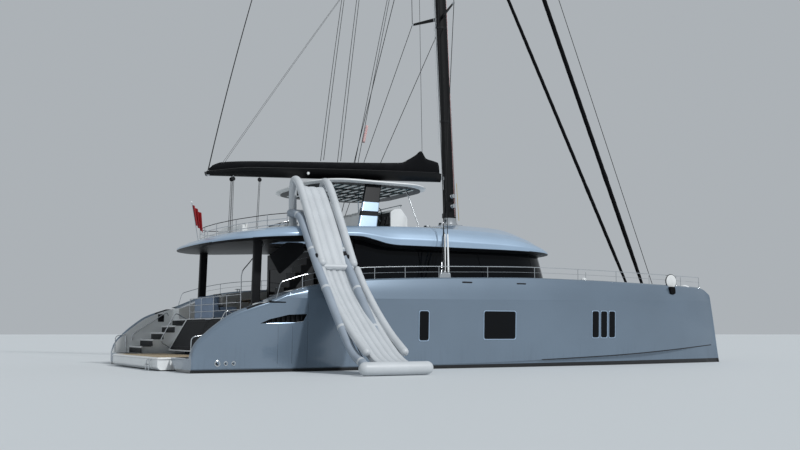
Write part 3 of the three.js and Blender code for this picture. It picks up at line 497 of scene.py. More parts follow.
# Finishes
class Paint:
    """A material in the making: its shader's own values, and short ways to add what its pattern needs."""

    def __init__(self, name, colour, roughness, metallic=0.0, **sockets):
        self.material = bpy.data.materials.new(name)
        self.material.use_nodes = True
        self.material.diffuse_color = (*colour, 1)
        self.tree = self.material.node_tree
        self.shader = self.tree.nodes["Principled BSDF"]
        self.fill(self.shader, {"Base Color": (*colour, 1), "Roughness": roughness, "Metallic": metallic})
        self.show(**sockets)

    def fill(self, node, inputs):
        """Sets a node's sockets, or links those whose value is another node's output."""
        for key, value in inputs.items():
            if isinstance(value, bpy.types.NodeSocket):
                self.tree.links.new(value, node.inputs[key])
            else:
                node.inputs[key].default_value = value

    def show(self, **sockets):
        """Gives the shader's sockets values or patterns: coat_weight is the socket Coat Weight."""
        self.fill(self.shader, {key.replace("_", " ").title().replace("Ior", "IOR"): value
                                for key, value in sockets.items()})

    def node(self, kind, inputs=None, **options):
        """A new node with its options and its sockets' values."""
        node = self.tree.nodes.new("ShaderNode" + kind)
        for key, value in options.items():
            setattr(node, key, value)
        self.fill(node, inputs or {})
        return node

    def place(self, scale=(1, 1, 1), turn=(0, 0, 0)):
        """Object coordinates, turned and scaled."""
        at = self.node("TexCoord").outputs["Object"]
        return self.node("Mapping", {"Vector": at, "Rotation": turn, "Scale": scale}).outputs["Vector"]

    def part_of(self, vector, letter):
        """One of a vector's three parts."""
        return self.node("SeparateXYZ", {"Vector": vector}).outputs[letter]

    def axis(self, letter):
        """One of the object coordinates."""
        return self.part_of(self.place(), letter)

    def noise(self, scale, detail=3.0, place=None):
        """Soft noise from 0 to 1, scale times as fine as a metre."""
        inputs = {"Vector": place or self.place(), "Scale": scale, "Detail": detail}
        return self.node("TexNoise", inputs).outputs["Fac"]

    def cells(self, scale):
        """The distance to the nearest of scattered points, for grained surfaces."""
        return self.node("TexVoronoi", {"Vector": self.place(), "Scale": scale}).outputs["Distance"]

    def wave(self, scale, direction, place=None):
        """Even bands square to a direction."""
        inputs = {"Vector": place or self.place(), "Scale": scale}
        return self.node("TexWave", inputs, wave_type="BANDS", bands_direction=direction).outputs["Fac"]

    def maths(self, operation, *values):
        """The result of one sum on numbers or sockets."""
        node = self.node("Math", operation=operation)
        self.fill(node, dict(enumerate(values)))
        return node.outputs[0]

    def span(self, value, low, high, start=0.0, end=1.0):
        """The value's way from low to high, as a number from start to end."""
        inputs = {"Value": value, "From Min": low, "From Max": high, "To Min": start, "To Max": end}
        return self.node("MapRange", inputs).outputs["Result"]

    def blend(self, share, a, b):
        """A colour between a and b, each a colour, a web code or a socket."""
        def full(colour):
            if isinstance(colour, bpy.types.NodeSocket):
                return colour
            return (*(tint(colour) if isinstance(colour, str) else colour[:3]), 1)
        node = self.node("Mix", data_type="RGBA")
        self.fill(node, {0: share, 6: full(a), 7: full(b)})
        return node.outputs[2]

    def mottled(self, scale, detail, a, b):
        """Noise between two colours."""
        return self.blend(self.noise(scale, detail), a, b)

    def clouded(self, base, scale, detail, low, high, dark, pale=1.0):
        """The colour in clouds between a dark and a pale shade of it, as the noise runs from low to high."""
        share = self.span(self.noise(scale, detail), low, high)
        return self.blend(share, darker(base, dark), darker(base, pale))

    def flaked(self, base, scale, detail, flake, dark):
        """A metallic paint's colour: wide clouds, with fine bright flakes over them."""
        body = self.clouded(base, scale, detail, 0.3, 0.7, dark, 1.06)
        return self.blend(self.span(self.noise(flake, 1), 0.35, 0.65, 0, 0.25), body, darker(base, 1.2))

    def bump(self, height, strength, distance=0.01):
        """Adds a pattern's height to the shader's normal."""
        inputs = {"Height": height, "Strength": strength, "Distance": distance}
        if self.shader.inputs["Normal"].is_linked:
            inputs["Normal"] = self.shader.inputs["Normal"].links[0].from_socket
        self.show(normal=self.node("Bump", inputs).outputs["Normal"])

    def woven(self, pitch, strength):
        """A plain weave as bump: the product of two waves square to each other, one turn for each pitch."""
        one, two, three = (self.wave(2 * math.pi / pitch / 20, axis) for axis in "XYZ")
        self.bump(self.maths("ADD", self.maths("MULTIPLY", one, two), three), strength, pitch)


def darker(colour, share):
    """The colour with its values scaled."""
    return tuple(min(1.0, value * share) for value in colour[:3])


def finish(colour, roughness, metallic=0.0, share=1.0, **sockets):
    """Turns a function that draws a pattern into one that gives its material, which is made once. The colour
    is a web code or the name of one of the user's colours, scaled by share."""
    def named(pattern):
        @functools.cache
        def material():
            chosen = getattr(bpy.context.scene.catamaran_finishes, colour, None)
            base = darker(chosen or tint(colour), share)
            paint = Paint(pattern.__name__, base, roughness, metallic, **sockets)
            pattern(paint, base)
            return paint.material
        return material
    return named


@finish("paint", 0.27, 0.45, coat_weight=0.6, coat_roughness=0.06)
def hull_paint(paint, base):
    """Metallic grey-blue paint with a black boot stripe at the water and dark bottom paint below it."""
    height = paint.axis("Z")
    streak = paint.span(paint.noise(2.2, 3, paint.place((6, 6, 0.35))), 0.52, 0.75)
    low = paint.span(height, 1.1, 0.1, 0, 0.5)
    body = paint.blend(paint.maths("MULTIPLY", streak, low), paint.flaked(base, 0.45, 2, 55, 0.95),
                       darker(base, 0.72))
    rise = paint.span(paint.axis("X"), -10, 11, 0.0, 0.07)
    top = paint.maths("ADD", rise, bpy.context.scene.catamaran_hull.boot)
    above = paint.span(paint.maths("SUBTRACT", height, top), -0.004, 0.004)
    growth = paint.mottled(5, 4, "14181c", "20262b")
    dry = paint.span(height, -0.012, -0.004)
    paint.show(base_color=paint.blend(dry, growth, paint.blend(above, "0c0d10", body)))
    paint.bump(paint.noise(3.0, 2), 0.02, 0.02)


# Painted light: the same paint made 2.2 times paler, as a lit copy of the hull paint.
@finish("paint", 0.3, 0.35, share=2.2, coat_weight=0.5, coat_roughness=0.08)
def roof_paint(paint, base):
    """A paler copy of the hull paint, with no stripe: its paleness is painted light, standing in for the
    light that falls on the roof, the lids and the fore beam.
    """
    paint.show(base_color=paint.flaked(base, 0.7, 3, 60, 0.96))
    paint.bump(paint.noise(4, 2), 0.02, 0.02)


@finish("gelcoat", 0.3, coat_weight=0.3, coat_roughness=0.12)
def gelcoat(paint, base):
    """Glossy off-white gelcoat with a faint chalky clouding."""
    paint.show(base_color=paint.clouded(base, 1.6, 4, 0.35, 0.7, 0.93))
    paint.bump(paint.noise(7, 2), 0.015, 0.02)


@finish("nonskid", 0.7)
def nonskid(paint, base):
    """Deck paint with a fine moulded grain, clouded a little darker in patches."""
    paint.show(base_color=paint.clouded(base, 1.2, 4, 0.3, 0.75, 0.86))
    paint.bump(paint.cells(70.0), 0.35, 0.004)


@finish("teak", 0.72)
def teak(paint, base):
    """Weathered planks that run fore and aft, with dark caulked seams between them."""
    across = paint.maths("MULTIPLY", paint.axis("Y"), 1 / 0.062)
    seam = paint.span(paint.maths("PINGPONG", across, 0.5), 0.03, 0.075)
    plank = paint.node("TexWhiteNoise", {"W": paint.maths("FLOOR", across)}, noise_dimensions="1D")
    grain = paint.noise(9, 4, paint.place((0.8, 14, 14)))
    wood = paint.blend(grain, darker(base, 0.72), darker(base, 1.15))
    wood = paint.blend(paint.span(plank.outputs["Value"], 0, 1, 0, 0.35), wood, darker(base, 0.8))
    paint.show(base_color=paint.blend(seam, "16181a", wood))
    paint.bump(seam, 0.5, 0.003)
    paint.bump(grain, 0.15, 0.002)


@finish("090b0e", 0.07, specular_ior_level=0.12)
def black_glass(paint, base):
    """Dark tinted glass, polished, with a faint unevenness in its reflections."""
    paint.show(base_color=paint.mottled(0.5, 2, "050608", "0a0d11"))
    paint.bump(paint.noise(0.9, 1), 0.03, 0.05)


@finish("2c5f66", 0.1, specular_ior_level=0.25)
def teal_glass(paint, base):
    """Green-blue tinted glass of the hardtop's roof lights."""
    paint.show(base_color=paint.mottled(0.8, 2, "1f4a50", "3d767c"))


@finish("charcoal", 0.45, specular_ior_level=0.2)
def charcoal(paint, base):
    """Satin charcoal moulding with a fine grain."""
    paint.show(base_color=paint.mottled(2.5, 4, darker(base, 0.75), darker(base, 1.2)))
    paint.bump(paint.noise(160, 2), 0.06, 0.002)


@finish("c9cdd0", 0.16, 1.0)
def steel(paint, base):
    """Polished stainless steel with faint rubbing marks."""
    marks = paint.noise(30, 3, paint.place((1, 1, 12)))
    paint.show(roughness=paint.span(marks, 0.3, 0.7, 0.1, 0.26),
               base_color=paint.mottled(6, 2, "bfc4c8", "d6d9dc"))


@finish("0a0b0c", 0.4, specular_ior_level=0.2)
def carbon(paint, base):
    """Clear-coated carbon fibre: a twill of two crossed bands under gloss."""
    crossed = paint.wave(130, "DIAGONAL", paint.place(turn=(0, 0, math.pi / 2)))
    weave = paint.maths("MULTIPLY", paint.wave(130, "DIAGONAL"), crossed)
    paint.show(base_color=paint.blend(weave, "070809", "121316"))
    paint.bump(weave, 0.05, 0.001)


@finish("canvas", 0.9, sheen_weight=0.03, specular_ior_level=0.1)
def canvas(paint, base):
    """Black acrylic canvas: woven, dusty where it faces up, with soft creases."""
    dust = paint.span(paint.noise(1.8, 5, paint.place((1, 1, 3))), 0.45, 0.8, 0, 0.3)
    up = paint.span(paint.part_of(paint.node("NewGeometry").outputs["Normal"], "Z"), 0.2, 1)
    paint.show(base_color=paint.blend(paint.maths("MULTIPLY", dust, up), base, "34373c"))
    paint.bump(paint.noise(5, 4, paint.place((1, 1, 2.5))), 0.4, 0.02)
    paint.woven(0.004, 0.1)


@finish("cushion", 0.9, sheen_weight=0.25)
def cushion_cloth(paint, base):
    """Heathered outdoor weave in blue-grey."""
    heather = paint.span(paint.noise(260, 2), 0.4, 0.65, 0, 0.6)
    paint.show(base_color=paint.blend(heather, paint.clouded(base, 4, 3, 0.3, 0.7, 0.86, 1.08),
                                      darker(base, 1.4)))
    paint.woven(0.003, 0.25)


@finish("d6d8d8", 0.55, sheen_weight=0.1)
def white_cloth(paint, base):
    """Off-white vinyl cushion cover with a leather-like grain."""
    paint.show(base_color=paint.clouded(base, 5, 4, 0.35, 0.7, 0.9))
    paint.bump(paint.cells(420.0), 0.2, 0.0015)


@finish("inflated", 0.46, coat_weight=0.12, coat_roughness=0.35)
def slide_fabric(paint, base):
    """Coated fabric of an inflatable: pale, satin, with its cloth showing faintly and scuffs along it."""
    scuff = paint.span(paint.noise(6, 5, paint.place((1, 3, 3))), 0.6, 0.8, 0, 0.35)
    clouds = paint.clouded(base, 1.4, 4, 0.35, 0.7, 0.92)
    paint.show(base_color=paint.blend(scuff, clouds, darker(base, 0.78)))
    paint.bump(paint.noise(3.5, 3), 0.1, 0.03)
    paint.woven(0.005, 0.05)


@finish("8f9aa6", 0.5, coat_weight=0.1, coat_roughness=0.35)
def slide_shade(paint, base):
    """The slide fabric darkened to blue-grey as painted shade: a shaded copy for the beams under its bed,
    which lie in shadow.
    """
    paint.show(base_color=paint.clouded(base, 1.8, 4, 0.3, 0.7, 0.88))
    paint.bump(paint.noise(3.5, 3), 0.1, 0.03)
    paint.woven(0.005, 0.05)


ROPES = {"white": ("c9ccce", "8d9296"), "black": ("101114", "24262a"), "yellow": ("d3b52c", "a3861b"),
         "red": ("b1343a", "d8d8d6")}  # the colour of each braided line, and of its flecks


@functools.cache
def rope(kind):
    """Braided line: slanting flecks of a second colour."""
    code, other = ROPES[kind]
    paint = Paint(f"{kind}_rope", tint(code), 0.8, sheen_weight=0.1)
    fleck = paint.span(paint.wave(5 * math.pi, "DIAGONAL"), 0.45, 0.55)
    paint.show(base_color=paint.blend(fleck, code, other))
    paint.bump(fleck, 0.3, 0.002)
    return paint.material


@finish("141518", 0.68, specular_ior_level=0.2)
def rubber(paint, base):
    """Black rubber with a fine grain."""
    paint.show(base_color=paint.mottled(8, 4, "101114", "1f2125"))
    paint.bump(paint.noise(220, 2), 0.1, 0.002)


@finish("a9793a", 0.32, 1.0)
def bronze(paint, base):
    """Cast bronze, mottled brown, with its gloss varying in patches."""
    paint.show(base_color=paint.mottled(12, 4, "8a6230", "c2924c"),
               roughness=paint.span(paint.noise(18, 3), 0.3, 0.7, 0.24, 0.45))


@finish("1a1f24", 0.8)
def antifoul(paint, base):
    """Dull bottom paint, worn in patches."""
    paint.show(base_color=paint.blend(paint.span(paint.noise(3, 5), 0.4, 0.7), "14181c", "2a3137"))
    paint.bump(paint.noise(40, 3), 0.15, 0.004)


@finish("flag", 0.85, sheen_weight=0.2)
def bunting(paint, base):
    """Woven red flag cloth, darker along its hems."""
    v = paint.part_of(paint.node("UVMap", uv_map="cloth").outputs["UV"], "Y")
    hem = paint.maths("ADD", paint.span(v, 0.03, 0.025), paint.span(v, 0.97, 0.975))
    paint.show(base_color=paint.blend(hem, paint.mottled(40, 3, darker(base, 0.85), base), darker(base, 0.7)))
    paint.woven(0.003, 0.2)


def floor_paint():
    """Matt pale floor with barely visible clouding."""
    base = tuple(bpy.context.scene.catamaran_stage.floor_colour)
    paint = Paint("floor_paint", base, 0.6)
    paint.show(base_color=paint.mottled(0.05, 3, darker(base, 0.985), base))
    return paint.material


# Lines of the port hull, each [x, value]
sheer_z = through([[AFT_X, 0.56], [-11.8, 0.8], [-11.68, 1.0], [-11.4, 1.27], [-11.13, 1.5], [-10.51, 1.92],
                   [-9.76, 2.19], [-9.3, 2.33], [-8.16, 2.76], [-6.5, 3.04], [-4.6, 3.16], [-2.0, 3.25],
                   [1.5, 3.32], [4.3, 3.3], [6.4, 3.265], [9.5, 3.22], [10.9, 3.2], [11.5, 3.11],
                   [BOW_X, 2.88]])
wide_y = through([[AFT_X, 5.45], [-9.5, 5.64], [-4.0, 5.72], [2.0, 5.72], [5.5, 5.58], [8.5, 5.23],
                  [10.6, 4.85], [BOW_X, 4.58]])
crease_z = through([[AFT_X, 2.38], [-3.0, 2.43], [4.3, 2.5], [11.0, 2.6], [BOW_X, 2.56]])
chine_z = through([[AFT_X, 0.13], [-3.0, 0.16], [4.3, 0.35], [6.4, 0.44], [11.45, 0.74], [BOW_X, 0.76]])
water_half = through([[AFT_X, 0.76], [-8.0, 0.93], [0.0, 0.98], [4.0, 0.86], [8.0, 0.48], [10.6, 0.17],
                      [BOW_X, 0.022]])
keel_z = through([[AFT_X, -0.16], [-9.0, -0.52], [-2.0, -0.82], [4.0, -0.78], [9.0, -0.56], [BOW_X, -0.38]])
inner_y = through([[AFT_X, INNER_Y], [5.0, INNER_Y], [8.0, 3.56], [10.5, 4.13], [BOW_X, 4.52]])


def hull_edges(x):
    """Heights and half-widths of the hull's long edges at x: sheer, crease, chine, top, wide and foot."""
    sheer = sheer_z(x)
    crease = np.minimum(crease_z(x), sheer - 0.15)
    chine = np.minimum(chine_z(x), crease - 0.1)
    wide = np.maximum(wide_y(x), inner_y(x) + 0.04)
    top = np.maximum(wide - 0.28 * (sheer - crease), inner_y(x) + 0.036)
    foot = np.maximum(wide - 0.04 * (crease - chine), inner_y(x) + 0.038)
    return sheer, crease, chine, top, wide, foot


def hull_side(x, z):
    """y of the port hull's outer side between chine and crease, with the side's slight bulge."""
    _, crease, chine, _, wide, foot = hull_edges(x)
    t = (z - chine) / (crease - chine)
    return foot + (wide - foot) * t + 0.02 * t * (1 - t)


def stem_shift(x, z):
    """How far a point near the bow moves aft: by the stem's rake above the water, in a curve below it."""
    share = np.maximum(0, (x - 2.0) / (BOW_X - 2.0)) ** 2
    return -share * np.where(z >= 0, STEM_RAKE * z, 1.1 * (z / 0.38) ** 2)


def hull_form(count):
    """The port hull: at each x a ring of corners over the deck, the rail, the side and the keel, each corner
    rounded, crisp at crease and chine and soft elsewhere, and softer along the quarters aft."""
    x = np.concatenate([np.linspace(AFT_X, -11.3, 22)[:-1], np.linspace(-11.3, -9.0, 36)[:-1],
                        np.linspace(-9.0, 9.0, count - 86), np.linspace(9.0, BOW_X, 31)[1:]])
    sheer, crease, chine, top, wide, foot = hull_edges(x)
    deck = np.minimum(DECK_Z, sheer - 0.06)
    inner, half, keel = inner_y(x), water_half(x), keel_z(x)
    rail = np.minimum(0.2, 0.5 * (top - inner))
    soft = np.clip((-6.5 - x) / 3, 0, 1)
    drop = np.minimum(0.05 + 0.13 * soft, 0.4 * (sheer - crease))
    corners = [
        (inner, deck, 0.01), (top - rail, deck, 0.02), (top - 0.75 * rail, sheer, 0.02),
        (top - (0.25 + 0.2 * soft) * rail, sheer, 0.04 + 0.1 * soft), (top + 0.3 * drop, sheer - drop, 0.03),
        (0.5 * (top + wide) + 0.014, 0.5 * (sheer + crease), 9.0), (wide, crease, 0.01),
        (0.5 * (wide + foot) + 0.01, 0.5 * (crease + chine), 9.0), (foot, chine, 0.008),
        (np.minimum(HULL_CENTRE + half + 0.04, foot - 0.003), chine - 0.05, 0.02),
        (np.minimum(HULL_CENTRE + half, foot - 0.006), 0 * x, 9.0)]
    for degrees in (25, 50, 72, 90, 108, 130, 155):
        angle = math.radians(degrees)
        corners.append((HULL_CENTRE + half * math.cos(angle), keel * math.sin(angle), 9.0))
    corners += [(np.maximum(HULL_CENTRE - half, inner + 0.002), 0 * x, 9.0),
                (inner, np.minimum(0.9, deck - 0.1), 0.25)]
    y, z, radius = (np.stack([np.broadcast_to(corner[k], x.shape) for corner in corners], 1)
                    for k in range(3))
    ring = rounded(np.stack([y, z], -1), radius, 4)
    along = x[:, None] + stem_shift(x[:, None], ring[..., 1])
    return skin(np.concatenate([along[..., None], ring], -1))


def sole_profile(start, high):
    """The stairs and the sole from the side, closed above."""
    outline = [[start, high], [start, PLATFORM_Z]]
    for i in range(STEPS):
        x = STEP_X + i * STEP_RUN
        outline += [[x, PLATFORM_Z + i * STEP_RISE], [x, PLATFORM_Z + (i + 1) * STEP_RISE]]
    return outline + [[COCKPIT_AFT_X + 0.001, high]]


VENT = [[-9.68, 1.56], [-9.35, 1.7], [-8.7, 1.85], [-8.05, 1.88], [-8.18, 1.64], [-8.5, 1.59]]
SLIT = [[-9.76, 2.225], [-8.8, 2.235], [-8.8, 2.27], [-9.69, 2.3]]
VENT_Y = 5.48
SLIT_Y = 5.3


class CatamaranHulls(bpy.types.Operator):
    """Both hulls as fine painted shells, with the stairs, the wells and the vents cut out"""
    bl_idname = "catamaran.hulls"
    bl_label = "Hulls"

    def execute(self, context):
        inboard = INNER_Y - 0.2
        cutters = [carried(sole_profile(AFT_X - 0.6, SKY_Z), 1, inboard, WING_INNER_Y),
                   block((COCKPIT_AFT_X, WELL_FRONT_X), (inboard, WELL_Y), (FLOOR_Z, SKY_Z)),
                   carried(rounded(VENT, 0.03), 1, VENT_Y, FAR), carried(rounded(SLIT, 0.01), 1, SLIT_Y, FAR)]
        port = carve(hull_form(context.scene.catamaran_hull.sections), *cutters)

        def choose(at, normal):
            x, y, z, up = at[:, 0], np.abs(at[:, 1]), at[:, 2], normal[:, 2]
            recess = (x < COCKPIT_AFT_X + 0.02) & (y < WING_INNER_Y + 0.004) & (z > PLATFORM_Z - 0.01)
            recess &= np.abs(up) < 0.9
            well = (x > COCKPIT_AFT_X - 0.02) & (y < WELL_Y + 0.004) & (z > FLOOR_Z - 0.01)
            level = (up > 0.95) & (z > PLATFORM_Z - 0.01) & (z < DECK_Z + 0.01)
            vents = (np.abs(x + 9) < 1.1) & (y < 5.6) & (y > WING_INNER_Y + 0.01) & (z > 1.5) & (z < 2.31)
            return np.select([vents & (up < 0.9), level, recess | well], [3, 2, 1], 0)

        pair("hull_shell", [port], [hull_paint(), gelcoat(), nonskid(), charcoal()], "gelcoat", "hull",
             sharp=24, choose=choose)
        return {"FINISHED"}


HULL_WINDOWS = [[-3.81, -3.43, 0.99, 2.02], [-1.11, 0.28, 1.03, 2.04], [3.93, 4.27, 1.07, 2.09],
                [4.37, 4.7, 1.07, 2.09], [4.8, 5.12, 1.07, 2.09]]  # aft, fore, foot and head of each
EXHAUSTS = [[-11.03, 0.085], [-10.76, 0.06], [-10.51, 0.06]]  # x and radius of each
EXHAUST_Z = 0.3
SEAM_X = (-8.02, -8.55, -9.05)


def beside(u, v, off):
    """Points on the port hull's outer side: u is x, v is z and off is outwards."""
    return spots(u, hull_side(u, v) + off, v)


class CatamaranHullFittings(bpy.types.Operator):
    """Hull windows with their borders, exhausts, vent blades, panel seams, and a black line at the chine that
    is painted shade of the groove there
    """
    bl_idname = "catamaran.hull_fittings"
    bl_label = "Hull fittings"

    def execute(self, context):
        proud = context.scene.catamaran_hull.window_proud
        outlines = [rectangle((aft, foot), (fore, head), 0.09, 6) for aft, fore, foot, head in HULL_WINDOWS]
        pair("hull_window_panes", [plate(line, beside, -0.03, proud) for line in outlines], black_glass(),
             "black_glass")
        pair("hull_window_borders", [border(line, 0.022, beside, -0.03, proud + 0.006) for line in outlines],
             roof_paint(), "gelcoat")
        flanges, throats = [], []
        for x, radius in EXHAUSTS:
            at = (x, hull_side(x, EXHAUST_Z), EXHAUST_Z)
            ring = np.array([[0.72, -0.05], [0.72, 0.01], [1, 0.014], [1.2, 0.006], [1.2, -0.05]])
            flanges.append(skin(lathe(ring * (radius, 1), 24, 1, at).points.reshape(5, 24, 3), loop=True))
            inside = radius * 0.74
            throats.append(lathe([[0, -0.04], [inside, -0.04], [inside, 0.0], [0, 0.0]], 24, 1, at))
        pair("exhausts", [joined(flanges), joined(throats)], [steel(), rubber()], "steel")
        blades = []
        for share in np.linspace(0.12, 0.9, 7):
            x = VENT[0][0] + 0.28 + share * 1.3
            head = np.interp(x, [-9.68, -9.35, -8.7, -8.05], [1.58, 1.7, 1.85, 1.88])
            blades.append(block((x, x + 0.02), (VENT_Y - 0.02, VENT_Y + 0.1), (1.6 + 0.03 * share, head)))
        ledge = tube(even([[-9.6, 5.615, 1.555], [-8.9, 5.62, 1.572], [-8.15, 5.62, 1.6]], 12),
                     np.sin(np.linspace(0.15, math.pi - 0.15, 12)) * 0.022, 8)
        pair("vent_blades", [joined(blades), ledge], [charcoal(), roof_paint()], "charcoal")
        seams = []
        for x in SEAM_X:
            z = np.linspace(0.25, 1.5 if x < -8.4 else 2.2, 14)
            seams.append(tube(spots(x, hull_side(x, z) + 0.0005, z), 0.004, 6))
        # Painted shade: the black bar along the chine stands for the shadow in the groove there; it is kept
        # with the seams.
        x = np.linspace(1.5, 11.4, 60)
        z = chine_z(x)
        seams.append(tube(spots(x + stem_shift(x, z), hull_edges(x)[5] + 0.002, z), 0.016, 8))
        pair("seams", seams, rubber(), "charcoal")
        return {"FINISHED"}


def foil(fore, aft, half, z, y=HULL_CENTRE, count=17):
    """A level section of a keel or rudder: half-width 2.6 half sqrt(t) (1 - t) from its nose t = 0 to its
    tail t = 1."""
    t = (1 - np.cos(np.linspace(0, math.pi, count))) / 2
    side = 2.6 * half * np.sqrt(t) * (1 - t) + 0.002
    x = fore + (aft - fore) * t
    port = np.stack([x, y + side, np.full(count, z)], 1)
    starboard = np.stack([x, y - side, np.full(count, z)], 1)[::-1]
    return np.concatenate([port, starboard])


def tapered_foil(top, foot, tip=0.06):
    """A loft of foil sections from top to foot, each (fore, aft, half, z), rounded off below the foot."""
    rows = [np.array(top) + (np.array(foot) - np.array(top)) * share for share in np.linspace(0, 1, 9)]
    middle = (foot[0] + foot[1]) / 2
    for angle in (0.5, 1.0, 1.35):
        shrink = math.cos(angle)
        rows.append([middle + (foot[0] - middle) * (0.9 + 0.1 * shrink),
                     middle + (foot[1] - middle) * (0.9 + 0.1 * shrink), foot[2] * shrink,
                     foot[3] - tip * math.sin(angle)])
    return skin([foil(*row) for row in rows])


SHAFT_FROM = np.array([-7.2, HULL_CENTRE, -0.7])
SHAFT_TO = np.array([-9.56, HULL_CENTRE, -0.98])
PROP_AT = (-9.7, HULL_CENTRE, -0.996)
PROP_TILT = -0.1181


def blade():
    """A propeller blade: at radius r its chord is .21 sin(pi q^.8) and its pitch falls from .95 to .42 rad,
    q being the way from root to tip, and its thickness falls with r."""
    q = np.linspace(0.08, 0.985, 16)[:, None]
    around = once_round(16)[None, :]
    radius = 0.05 + 0.31 * q
    chord = 0.105 * np.sin(math.pi * q ** 0.8) ** 0.7 + 0.012
    pitch = 0.95 - 0.53 * q
    thick = 0.013 * (1.1 - q)
    c, w = chord * np.cos(around), thick * np.sin(around) + 0.1 * chord * np.cos(around) ** 2
    rake = 0.02 * q ** 2
    return skin(np.stack([-c * np.sin(pitch) + w * np.cos(pitch) - rake,
                          c * np.cos(pitch) + w * np.sin(pitch), radius + 0 * c], -1))


class CatamaranUnderwater(bpy.types.Operator):
    """Stub keels, rudders, shafts with their brackets, and propellers"""
    bl_idname = "catamaran.underwater"
    bl_label = "Underwater gear"

    def execute(self, context):
        keel = tapered_foil((2.4, -2.7, 0.26, -0.55), (2.0, -2.2, 0.2, -1.84))
        rudder = tapered_foil((-10.47, -11.25, 0.055, -0.39), (-10.5, -11.08, 0.035, -1.61), 0.04)
        stock = lathe([[0, -0.45], [0.045, -0.45], [0.045, -0.325], [0, -0.325]], 24, 2,
                      (-10.65, HULL_CENTRE, 0))
        rod = tube([SHAFT_FROM, SHAFT_TO], 0.042, 20)
        share = np.linspace(0.84, 0.965, 14)
        barrel = tube(SHAFT_FROM + share[:, None] * (SHAFT_TO - SHAFT_FROM),
                      0.05 + 0.032 * np.sin(np.linspace(0.1, math.pi - 0.1, 14)) ** 0.5, 24)
        strut = skin([foil(-9.2, -9.46, 0.025, z) for z in np.linspace(-0.93, -0.4, 5)])
        hub = lathe([[0, -0.15], [0.05, -0.13], [0.08, -0.05], [0.086, 0.04], [0.07, 0.11], [0, 0.11]], 32, 0)
        screw = joined([hub] + [blade().turned(0, k * math.pi / 2) for k in range(4)])
        screw = screw.turned(1, PROP_TILT).moved(*PROP_AT)
        pair("keel_form", [keel], antifoul(), "antifoul", "keel")
        pair("rudder_form", [rudder, stock], [antifoul(), steel()], "antifoul", "rudder", "rudder")
        pair("shaft_line", [rod, barrel + strut], [steel(), bronze()], "steel", "shaft")
        pair("screw", [screw], bronze(), "bronze", "propeller", "propeller")
        return {"FINISHED"}


PLATFORM = {"x": (-12.3, -10.3), "half": 3.15}
AFT_FACE = np.array([[-10.15, 0.56], [COCKPIT_AFT_X, FLOOR_Z]])


def on_wing(u, v, off):
    """Points on the inner face of the port wing: u is x, v is z and off is towards the boat's middle."""
    return spots(u, WING_INNER_Y - off, v)


def on_door(u, v, off):
    """Points on the sloping aft face: u across the boat, v the way up the face in metres, off outwards."""
    along = AFT_FACE[1] - AFT_FACE[0]
    along = along / np.linalg.norm(along)
    x = AFT_FACE[0][0] + v * along[0] - off * along[1]
    z = AFT_FACE[0][1] + v * along[1] + off * along[0]
    return spots(x, u, z)


